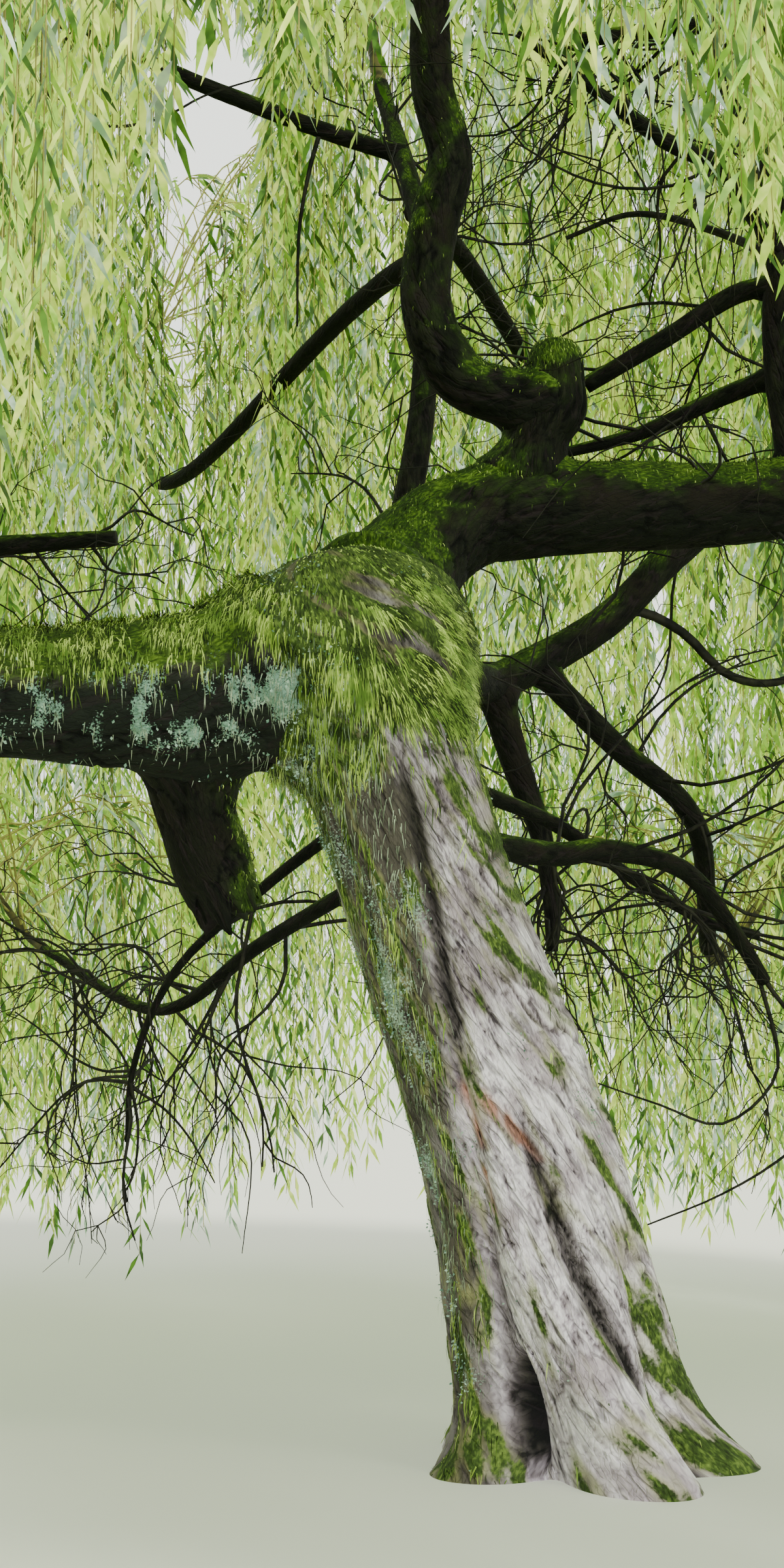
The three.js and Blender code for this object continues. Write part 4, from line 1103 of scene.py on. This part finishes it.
def strand_at(strands, u):
    """A hanging strand at arc length u: the way along its heading is r(1 - e^(-u/r)), the drop is u less
    that, and it sways by a slow sine that grows from nothing."""
    away = strands["reach"] * (1 - np.exp(-u / strands["reach"]))
    sway = strands["swing"] * np.sin(u / strands["wave"] + strands["phase"]) * (1 - np.exp(-u / 0.6))
    return (strands["start"] + strands["heading"] * away[..., None] - UP * (u - away)[..., None]
            + strands["sway"] * sway[..., None])


def each_point(strands):
    """The strands' fields with an axis for the points along each."""
    return {key: values[:, None] for key, values in strands.items()}


def picked(strands, index):
    return {key: values[index] for key, values in strands.items()}


def free_points(mass, strands):
    """How many of a strand's test points, counted from its start, are in the mass's space, clear of limbs
    and out of the gap that shows the sky."""
    lengths = np.linspace(0, 1, TEST_POINTS)[None, :] * strands["length"][:, None]
    points = strand_at(each_point(strands), lengths)
    fine = in_space(mass, points) & clear_of_limbs(points, STRAND_CLEARANCE) & ~in_sky_window(points)
    fine[:, 0] = True
    return np.cumprod(fine, axis=1).sum(1)


def trimmed(mass, strands):
    """Strands that would leave the mass's space lean back to its middle if that helps. They are then cut off
    where they still leave it or touch a limb, and the short ones are left out."""
    tier = mass["tier"]
    middle = crown_point(mass["bearing"], (tier["inner"] + tier["outer"]) / 2, 0.0)
    inwards = unit((middle - strands["start"]) * [1, 1, 0]) + UP * 0.1
    leaning = dict(strands, heading=unit(inwards), swing=strands["swing"] * 0.4)
    good, other = free_points(mass, strands), free_points(mass, leaning)
    better = other > good
    for key in ("heading", "swing"):
        strands[key][better] = leaning[key][better]
    good = np.maximum(good, other)
    cut = np.where(good < TEST_POINTS, (good - 1) / (TEST_POINTS - 1), 1.0)
    ragged = np.where(good < TEST_POINTS, strands["fray"], 1.0)
    strands["length"] = strands["length"] * cut * ragged
    return picked(strands, strands["length"] > strands["shortest"])


def strands_on(arcs, number, rng, kind, floor):
    """Strands of a kind that leave the arcs forwards and to both sides. Hanging ones leave at even steps and
    fall to near the floor of their space, and sprays leave anywhere and are short."""
    hangs = kind is HANGING
    count = len(arcs) * number
    arc = np.repeat(np.arange(len(arcs)), number)
    spread = np.tile(np.arange(number) / (number - 1), len(arcs)) if hangs else rng.random(count)
    place = mix(0.06, 1.0, spread**OUTWARD_FAVOUR) * (ARC_POINTS - 1)
    cell = np.minimum(place.astype(int), ARC_POINTS - 2)
    part = (place - cell)[:, None]
    start = arcs[arc, cell] * (1 - part) + arcs[arc, cell + 1] * part
    forward = unit((arcs[arc, cell + 1] - arcs[arc, cell]) * [1, 1, 0] + 1e-6)
    sideways = np.cross(UP, forward)
    turn = rng.normal(0, kind["turn"], count)[:, None]
    rise = rng.uniform(*kind["rise"], count)[:, None]
    length = rng.uniform(*kind["length"], count)
    if hangs:
        length = (start[:, 2] - floor + 0.25) * length
    return dict(
        start=start, heading=unit(forward * np.cos(turn) + sideways * np.sin(turn) + UP * rise),
        length=length, reach=rng.uniform(*kind["reach"], count),
        sway=level(rng.uniform(0, 2 * math.pi, count)), swing=rng.uniform(0.015, 0.07, count),
        wave=rng.uniform(0.35, 0.8, count), phase=rng.uniform(0, 6.3, count),
        fray=rng.uniform(0.72, 0.99, count), shortest=np.full(count, kind["shortest"]),
        shade=rng.choice(len(SHADE_SHARES), count, p=SHADE_SHARES))


def roof_over(tier, share):
    """The height that a ring's shoots keep to at a share of the crown's reach."""
    return tier.get("roof", crown_roof(share)) - tier["sink"]


def stem_of(mass):
    """A mass's stem goes on from its limb, rises to its crest and comes down to its end."""
    tier, path = mass["tier"], mass["limb"]["path"]
    foot, heading = path.at(1), path.heading(1)
    crest = crown_point(mass["bearing"], tier["crest"], roof_over(tier, tier["crest"]) + 0.12)
    end = crown_point(mass["bearing"], tier["end"], roof_over(tier, tier["end"]) - 0.25)
    return bezier(foot, foot + heading * np.linalg.norm(crest - foot) * 0.5, crest, end)


def shoots_from(stem, name, rng):
    """A mass's shoots, as arcs from places along its stem over to tops that the golden ratio spreads across
    the mass. Those that meet a limb or the gap that shows the sky are left out."""
    mass = masses[name]
    tier = mass["tier"]
    count = round(GROWTH[mass["ring"]]["shoots"] * THICKER.get(name, 1))
    i = np.arange(count)
    along = i / (count - 1)
    across = (i * GOLDEN_RATIO + mass["seed"] * 0.31) % 1 * 2 - 1
    across = np.sign(across) * abs(across)**EDGE_FAVOUR
    share = mix(mix(tier["inner"], tier["crest"], INNERMOST_SHOOT), tier["outer"] * 0.965, along)
    share = share * (0.985 + 0.03 * rng.random(count))
    height = roof_over(tier, share) + tier["sink"] * 0.55 - 0.5 * rng.random(count)**2
    top = crown_point(mass["bearing"] + mass["half_arc"] * 0.96 * across, share, height)
    start = stem.at(mix(0.12, 0.97, along))
    rise = (start + top) / 2
    rise[:, 2] = np.minimum(np.maximum(start[:, 2], top[:, 2]) + 0.12, height + 0.1)
    t = np.linspace(0, 1, ARC_POINTS)[None, :, None]
    arcs = start[:, None] * (1 - t)**2 + 2 * rise[:, None] * t * (1 - t) + top[:, None] * t**2
    return arcs[clear_of_limbs(arcs[:, 1:], SHOOT_CLEARANCE).all(1) & ~in_sky_window(arcs).any(1)]


def grow_mass(name):
    """A mass's stem, its girth at its foot, its shoots, and the strands and sprays on them."""
    mass = masses[name]
    rule, floor = GROWTH[mass["ring"]], mass["tier"]["floor"]
    rng = np.random.default_rng(mass["seed"])
    stem = stem_of(mass)
    arcs = shoots_from(stem, name, rng)
    hanging = strands_on(arcs, rule["strands"], rng, HANGING, floor)
    sprays = strands_on(arcs, rule["sprays"], rng, SPRAY, floor)
    both = {key: np.concatenate([values, sprays[key]]) for key, values in hanging.items()}
    return stem, mass["limb"]["radius"](1.0), arcs, trimmed(mass, both)


def patterned(corners, pattern):
    """The same triangles on every row of corners."""
    count, size = corners.shape[:2]
    faces = np.arange(count)[:, None, None] * size + np.array(pattern)
    return corners.reshape(-1, 3), faces.reshape(-1, 3)


def bars(lines, girths, sides=3):
    """Thin bars along lines of points, open at both ends: rings of corners at each point's girth."""
    count, points = lines.shape[:2]
    heading = unit(np.gradient(lines, axis=1))
    side = unit(np.cross(heading, [0.31, 0.83, 0.46]))
    rise = np.cross(heading, side)
    turn = np.arange(sides) / sides * 2 * math.pi
    ring = side[:, :, None] * np.cos(turn)[:, None] + rise[:, :, None] * np.sin(turn)[:, None]
    corners = lines[:, :, None] + ring * np.broadcast_to(girths, lines.shape[:2])[:, :, None, None]
    base = np.arange(count)[:, None, None] * points * sides
    return corners.reshape(-1, 3), (base + ring_quads(points, sides)).reshape(-1, 4)


def leaf_shapes(base, axis, width_way, length, ratio, fine):
    """Lance-shaped leaves that droop by a square law towards the tip. A fine one has four faces on stations
    at 0, 0.3, 0.66 and 1 of its length, and a plain one has two faces either side of its widest line."""
    stations, halves = ((0, 0.3, 0.66, 1), (0, 1, 0.8, 0)) if fine else ((0, 0.42, 1), (0, 1, 0))
    corners = []
    for u, half in zip(stations, halves):
        middle = base + axis * (length * u)[:, None] - UP * (length * 0.22 * u * u)[:, None]
        wide = width_way * (length * ratio / 2 * half)[:, None]
        corners += [middle] if half == 0 else [middle - wide, middle + wide]
    pattern = [[0, 2, 1], [1, 2, 4], [1, 4, 3], [3, 4, 5]] if fine else [[0, 2, 1], [1, 2, 3]]
    return patterned(np.stack(corners, 1), pattern)


def leaves_on(strands, gap, size, ratio, rng, fine):
    """Leaves set round each strand by the golden angle, pointing down and out, smaller towards its tip."""
    numbers = np.maximum((strands["length"] / gap).astype(int), 2)
    index = np.repeat(np.arange(len(numbers)), numbers)
    order = np.arange(len(index)) - np.repeat(np.cumsum(numbers) - numbers, numbers)
    share = ((order + rng.random(len(index))) / numbers[index])**0.88
    u = strands["length"][index] * share
    near = picked(strands, index)
    base = strand_at(near, u)
    down = unit(strand_at(near, u + 0.02) - base)
    outwards = level(order * GOLDEN_ANGLE + near["phase"] * 5)
    lean = rng.uniform(0.3, 0.95, len(index))[:, None]
    axis = unit(down * 0.85 + outwards * lean + UP * rng.uniform(-0.25, 0.1, len(index))[:, None])
    roll = rng.uniform(-1.2, 1.2, len(index))[:, None]
    flat = unit(np.cross(axis, outwards) + 1e-6)
    width_way = flat * np.cos(roll) + np.cross(axis, flat) * np.sin(roll)
    length = size * rng.uniform(0.7, 1.15, len(index)) * (1 - 0.2 * share)
    return leaf_shapes(base, axis, width_way, length, ratio, fine)


# Willow leaves have a soft sheen above and are bluish below, so each spray has one of four tints.
LEAF_MATERIALS = {shade: leafy_material(f"{shade}_willow_leaf", *tints)
                  for shade, tints in LEAF_SHADES.items()}
# Young shoots are olive and smooth; older ones and dead twigs are brown to near-black.
SHOOT_SKIN = leafy_material("olive_shoot_skin", "#6b6a28", "#9c9a46", 0.6)
BROWN_SHOOTS = leafy_material("brown_shoot_bark", "#2e2c18", "#55522a", 0.7, 0.2)
TWIG_BARK = leafy_material("dark_twig_bark", "#0d0e09", "#24241a", 0.8, 0.2)


def joined(parts):
    """Several (points, faces) as one."""
    offset, points, faces = 0, [], []
    for part_points, part_faces in parts:
        points.append(part_points)
        faces.append(part_faces + offset)
        offset += len(part_points)
    return np.concatenate(points), [np.concatenate(faces)]


def grow_group(group, ring, words, size, ratio, gap):
    """Grows a group of masses: its leaves go into one piece for each shade, its young shoots into another,
    and its older and bare ones into a third."""
    names = [name for name, mass in masses.items()
             if mass["ring"] == ring and (words is None or name[len(ring) + 1:] in words)]
    leaves = {shade: [] for shade in LEAF_SHADES}
    young, old = [], []
    for name in names:
        stem, girth, arcs, strands = grow_mass(name)
        rng = np.random.default_rng(masses[name]["seed"] + LEAF_SEED)
        along = np.linspace(0, 1, STEM_POINTS)
        old.append(bars(stem.at(along)[None], np.linspace(girth * 0.95, STEM_TIP, STEM_POINTS), 6))
        young.append(bars(arcs, np.linspace(*SHOOT_GIRTHS, ARC_POINTS), 4))
        u = np.linspace(0, 1, STRAND_POINTS)**1.5 * strands["length"][:, None]
        lines = strand_at(each_point(strands), u)
        girths = np.linspace(*STRAND_GIRTHS, STRAND_POINTS)
        bare = strands["shade"] == len(LEAF_SHADES)
        young.append(bars(lines[~bare], girths))
        old.append(bars(lines[bare], girths))
        for number, shade in enumerate(LEAF_SHADES):
            chosen = picked(strands, strands["shade"] == number)
            leaves[shade].append(leaves_on(chosen, gap, size, ratio, rng, group == FINEST_GROUP))
    for shade, parts in leaves.items():
        new_piece(f"{group}_{shade}_leaves", *joined(parts), LEAF_MATERIALS[shade], SLOTS[ring], names)
    new_piece(f"{group}_young_shoots", *joined(young), SHOOT_SKIN, SLOTS[ring], names)
    new_piece(f"{group}_old_shoots", *joined(old), BROWN_SHOOTS, SLOTS[ring], names)


# Bare twigs.

def wandering(start, heading, length, rng, droop, steps=9):
    """Lines that turn by two slow sines and droop: each is the running sum of its steps."""
    count = len(start)
    u = np.linspace(0, 1, steps + 1)[None, :, None]
    side = unit(np.cross(heading, UP) + 1e-6)
    rise = np.cross(side, heading)
    way = heading[:, None] - UP * droop * u
    for across in (side, rise):
        swing = rng.uniform(0.2, 0.9, (count, 1, 1))
        pace = rng.uniform(3, 8, (count, 1, 1))
        phase = rng.uniform(0, 6.3, (count, 1, 1))
        way = way + across[:, None] * swing * (np.sin(u * pace + phase) - np.sin(phase))
    lines = start[:, None] + np.cumsum(unit(way), axis=1) * (length / steps)[:, None, None]
    lines[:, 0] = start
    return lines


def side_twigs(lines, count, length, rng, droop, steps):
    """Twigs that leave other twigs sideways at random places."""
    parent = rng.integers(0, len(lines), count)
    place = rng.integers(2, lines.shape[1] - 1, count)
    start = lines[parent, place]
    along = unit(lines[parent, place + 1] - lines[parent, place - 1])
    heading = unit(along + rng.normal(0, 0.75, (count, 3)))
    return wandering(start, heading, rng.uniform(*length, count), rng, droop, steps)


def tangle(names, count, length, droop, rng):
    """Bare twigs in three sizes on the given limbs, each size on the one before."""
    limb = rng.integers(0, len(names), count)
    share = rng.uniform(0.25, 0.98, count)
    start = np.array([limbs[names[i]]["path"].at(s) for i, s in zip(limb, share)])
    along = np.array([limbs[names[i]]["path"].heading(s) for i, s in zip(limb, share)])
    heading = unit(0.5 * along + rng.normal(0, 0.7, (count, 3)) + [0, 0.15, 0])
    main = wandering(start, heading, rng.uniform(*length, count), rng, droop)
    small = side_twigs(main, count * 4, (0.25, 0.8), rng, droop, 7)
    least = side_twigs(small, count * 7, (0.12, 0.4), rng, droop, 5)
    parts = []
    for lines, girths in zip((main, small, least), TWIG_GIRTHS):
        lines = lines[lines[..., 2].min(1) > LOWEST_TWIG]
        parts.append(bars(lines, np.linspace(*girths, lines.shape[1])))
    return parts


def bare_branch(girths, points):
    """One bare branch through given points."""
    line = curve_through(points).at(np.linspace(0, 1, 20))
    return bars(line[None], np.linspace(*girths, 20))


def grow_bare_twigs():
    rng = np.random.default_rng(TWIG_SEED)
    parts = [bare_branch(*branch) for branch in BARE_BRANCHES]
    for row in TANGLES:
        parts += tangle(*row, rng)
    new_piece("bare_twigs", *joined(parts), TWIG_BARK, "shaded_bark", ["back_bough", "left_back_bough"])


# Moss that hangs in strands, and lichen.

def rooted(tube, count, weight, jitter, rng):
    """Places on a skin, more of them where the weight is high: their numbers, the points there, a little off
    the skin, and the outward directions."""
    chance = np.clip(weight, 0, None).ravel() * tube.radius.ravel()
    spots = rng.choice(chance.size, count, p=chance / chance.sum())
    base = tube.points.reshape(-1, 3)[spots] + rng.normal(0, jitter, (count, 3))
    return spots, base, tube.out.reshape(-1, 3)[spots]


def blades(tube, count, weight, length, width, rng, lift=0.12, swirl=None):
    """Narrow blades rooted on a skin: each follows the fall line of the skin, combed sideways by the swirl,
    lifts a little and droops at its tip."""
    spots, base, out = rooted(tube, count, weight, 0.004, rng)
    fall = -UP + out * out[:, 2:3] + rng.normal(0, 0.16, (count, 3))
    if swirl is not None:
        heading = np.repeat(tube.heading, tube.share.shape[1], axis=0)[spots]
        fall = unit(fall) + np.cross(heading, out) * swirl.ravel()[spots, None]
    fall = unit(fall)
    long = (length * rng.uniform(0.4, 1.25, count))[:, None]
    wide = np.cross(fall, out) * (width * rng.uniform(0.6, 1.3, count))[:, None]
    base = base - out * 0.003
    middle = base + fall * long * 0.5 + out * long * lift
    tip = base + (fall - UP * 0.2) * long + out * long * lift * 0.4
    corners = np.stack([base - wide, base + wide, middle - wide * 0.8, middle + wide * 0.8, tip], 1)
    corners[..., 2] = np.maximum(corners[..., 2], 0.002)
    return patterned(corners, [[0, 1, 3], [0, 3, 2], [2, 3, 4]])


def crusts(tube, count, weight, size, rng):
    """Lichen rosettes: small curled flakes that stand up from the skin every way."""
    _, base, out = rooted(tube, count, weight, 0.006, rng)
    way = unit(out * 0.7 + rng.normal(0, 0.8, (count, 3)))
    wide = unit(np.cross(way, rng.normal(0, 1, (count, 3))))
    long = (size * rng.uniform(0.5, 1.3, count))[:, None]
    middle = base + way * long * 0.6
    tip = base + (way + out * 0.3) * long
    corners = np.stack([base, middle - wide * long * 0.4, middle + wide * long * 0.4, tip], 1)
    return patterned(corners, [[0, 2, 1], [1, 2, 3]])


# Feather moss is soft and dull, bright where it is fresh and brown-green where it is old, and the shaded
# limbs take fewer bright blades and more deep ones as painted shade.
# Each tint's share on the sunny trunk and left bough, its share on the shaded limbs, and its seed.
MOSS_TINTS = {
    "bright": (leafy_material("bright_feather_moss", "#84a03c", "#bace6c", 0.8, 0.15), 0.55, 0.15, 0),
    "green": (leafy_material("green_feather_moss", "#4d6b24", "#7f9a42", 0.8, 0.15), 0.9, 0.9, 1),
    "deep": (leafy_material("deep_feather_moss", "#1a260d", "#3d521e", 0.85, 0.1), 1.1, 1.6, 2),
}
LICHEN = leafy_material("crusty_blue_green_lichen", "#527461", "#9ab79f", 0.9, 0.1)
BEARD_LICHEN = leafy_material("grey_green_beard_lichen", "#5d6d55", "#a3b296", 0.9, 0.1)


# The wood.

def build_trunk():
    """The trunk's skin, in three pieces one above the other."""
    trunk = Bole("trunk", TRUNK_RINGS, TRUNK_SIDES, TRUNK_JOINS)
    trunk.mark()
    trunk.cover()
    trunk.push(trunk.relief())
    cuts = [0, TRUNK_RINGS // 3, 2 * TRUNK_RINGS // 3, TRUNK_RINGS - 1]
    for part, first, last in zip(("foot", "bole", "shoulder"), cuts, cuts[1:]):
        skin_piece(f"trunk_{part}_bark", [trunk], WEATHERED_BARK, "trunk_bark", ["trunk"], (first, last))
    return trunk


def shape_broken_limb(tube):
    """The broken limb stays thick to near its end, and breaks off in a jagged edge."""
    tube.moss = np.clip(tube.moss + 0.5 * np.clip(tube.out[..., 0], 0, 1) - 0.15, 0, 1)
    tube.points += tube.out * (0.05 * smoothstep(tube.share, 0.45, 0.85))[..., None]
    jagged = smoothstep(tube.share, 0.78, 1.0) * (0.16 * tube.pattern(0.07, 1, 202) + 0.01)
    tube.points += tube.heading[:, None] * jagged[..., None]


def shape_neck(tube):
    """The neck ends in a mossy knob, rounded over its last 14 percent."""
    tube.moss = np.clip(tube.moss + 0.8 * smoothstep(tube.share, 0.8, 0.97), 0, 1)
    past = np.clip((tube.share - 0.86) / 0.14, 0, 1)
    tube.points -= tube.out * (0.6 * tube.radius * (1 - np.sqrt(1 - past**2)))[..., None]


def build_boughs():
    """The heavy boughs' skins, by name."""
    boughs = {}
    for name, (rings, sides, joins, *bark) in BOUGHS.items():
        boughs[name] = Tube(name, rings, sides, joins)
        dress_limb(boughs[name], *bark)
    dress_left_bough(boughs["left_bough"])
    shape_broken_limb(boughs["broken_limb"])
    shape_neck(boughs["rising_bough_neck"])
    skin_piece("left_bough_bark", [boughs["left_bough"]], MOSSY_BARK, "mossy_bark", ["left_bough"])
    skin_piece("broken_limb_bark", [boughs["broken_limb"]], SHADED_BARK, "mossy_bark", ["broken_limb"])
    on_the_right = [boughs[name] for name in ("right_bough", "rising_bough_neck", "rising_bough")]
    skin_piece("right_bough_bark", on_the_right, SHADED_BARK, "shaded_bark",
               ["right_bough", "rising_bough_neck", "rising_bough_foot", "rising_bough"])
    return boughs


def build_upper_limbs():
    """All other limbs, in one piece. The rising bough's own skin takes in its foot."""
    others = [name for name in LIMBS if name not in (*BOUGHS, "rising_bough_foot")]
    tubes = []
    for i, name in enumerate(others):
        girth = LIMBS[name]["radii"][0]
        rings = int(limbs[name]["path"].length / 0.035)
        tube = Tube(name, rings, 12 if girth < 0.05 else 20, [(LIMBS[name]["parent"], girth)])
        dress_limb(tube, 400 + 20 * i, 0.03, 0.004, -0.2)
        tubes.append(tube)
    skin_piece("upper_limbs_bark", tubes, SHADED_BARK, "shaded_bark", others)


def grow_moss(trunk, boughs):
    """Feather moss in three tints over the shoulder, the boughs and the trunk's flank, with lichen."""
    rng = np.random.default_rng(MOSS_SEED)
    left = boughs["left_bough"]
    nodes = ["left_bough", "trunk"]
    top = smoothstep(trunk.height, 2.2, 2.6)
    on_trunk = trunk.moss**2 * (top + 0.5 * trunk.left * (1 - top)) + trunk.moss**3 * 0.12
    turn = trunk.off(SWIRL_MIDDLE)
    swirl = 0.9 * smoothstep(turn, 0, 40) - 0.5 * smoothstep(-turn, 10, 50)
    swirl = swirl * smoothstep(trunk.height, 2.3, 2.7)
    for word, (material, share, shaded, seed) in MOSS_TINTS.items():
        patches = smoothstep(trunk.pattern(0.1, 2.2, 700 + seed), -0.2, 0.15)
        left_patches = smoothstep(left.pattern(0.1, 1.6, 710 + seed), -0.2, 0.15)
        parts = [blades(trunk, int(13500 * share), on_trunk * patches, 0.07, 0.0026, rng, 0.1, swirl),
                 blades(left, int(7000 * share), left.moss**2 * left_patches, 0.06, 0.0024, rng, 0.15)]
        for name, (count, length, width) in SHADED_MOSS.items():
            tube = boughs[name]
            parts.append(blades(tube, int(count * shaded), tube.moss**3, length, width, rng, 0.3))
        new_piece(f"moss_strands_{word}", *joined(parts), material, "mossy_bark", nodes)
    parts = [crusts(left, 11000, left.lichen**2, 0.013, rng),
             crusts(trunk, 3000, trunk.lichen**3, 0.01, rng)]
    new_piece("lichen_crusts", *joined(parts), LICHEN, "mossy_bark", nodes)
    flank = trunk.left * smoothstep(trunk.height, 0.3, 0.8)
    parts = [blades(trunk, 3200, flank, 0.06, 0.0015, rng),
             blades(left, 1600, left.lichen * np.exp(-left.share / 0.12), 0.05, 0.0015, rng)]
    new_piece("beard_lichen", *joined(parts), BEARD_LICHEN, "mossy_bark", nodes)


trunk = build_trunk()
boughs = build_boughs()
build_upper_limbs()
grow_moss(trunk, boughs)
grow_bare_twigs()
for group, row in GROUPS.items():
    grow_group(group, *row)


# Camera, light and floor.

def set_camera():
    """A tilt that puts the horizon at its row: its tangent is the rows between the horizon and the picture's
    middle over the focal length in pixels."""
    focal = LENS_MM / SENSOR_MM * PHOTO_HEIGHT
    tilt = math.atan((HORIZON_ROW - PHOTO_HEIGHT / 2) / focal)
    data = bpy.data.cameras.new("camera")
    data.lens = LENS_MM
    data.sensor_width = SENSOR_MM
    camera = bpy.data.objects.new("camera", data)
    camera.location = CAMERA_PLACE
    camera.rotation_euler = (math.pi / 2 + tilt, 0, 0)
    bpy.context.scene.collection.objects.link(camera)
    bpy.context.scene.camera = camera


def add_sun(name, energy, place, spread, tint, shadow):
    """A distant soft lamp that shines from a place towards the trunk."""
    data = bpy.data.lights.new(name, "SUN")
    data.energy = energy
    data.color = colour(tint)[:3]
    data.angle = spread
    data.use_shadow = shadow
    lamp = bpy.data.objects.new(name, data)
    lamp.location = place
    x, y, z = np.subtract(LAMP_AIM, place)
    lamp.rotation_euler = (math.acos(-z / math.hypot(x, y, z)), 0, math.atan2(y, x) - math.pi / 2)
    bpy.context.scene.collection.objects.link(lamp)


def set_sky():
    """An even sky that the camera sees brighter than it shines."""
    world = bpy.data.worlds.new("studio")
    world.use_nodes = True
    tree = world.node_tree
    background = tree.nodes["Background"]
    background.inputs["Color"].default_value = colour(WORLD_TINT)
    seen = add_node(tree, "ShaderNodeLightPath").outputs["Is Camera Ray"]
    strength = weighed(tree, WORLD_STRENGTH, (seen, SEEN_BRIGHTER))
    tree.links.new(strength, background.inputs["Strength"])
    bpy.context.scene.world = world


def lay_floor():
    """A pale matte floor."""
    mesh = bpy.data.meshes.new("floor")
    corners = [(x * FLOOR_REACH, y * FLOOR_REACH, 0) for x, y in ((-1, -1), (1, -1), (1, 1), (-1, 1))]
    mesh.from_pydata(corners, [], [(0, 1, 2, 3)])
    material, _, shader = material_named("pale_floor", 0.9, 0.25)
    shader.inputs["Base Color"].default_value = colour(FLOOR_TINT)
    mesh.materials.append(material)
    floor = bpy.data.objects.new("floor", mesh)
    bpy.context.scene.collection.objects.link(floor)


set_camera()
set_sky()
lay_floor()
for name, lamp in LAMPS.items():
    add_sun(name, *lamp)
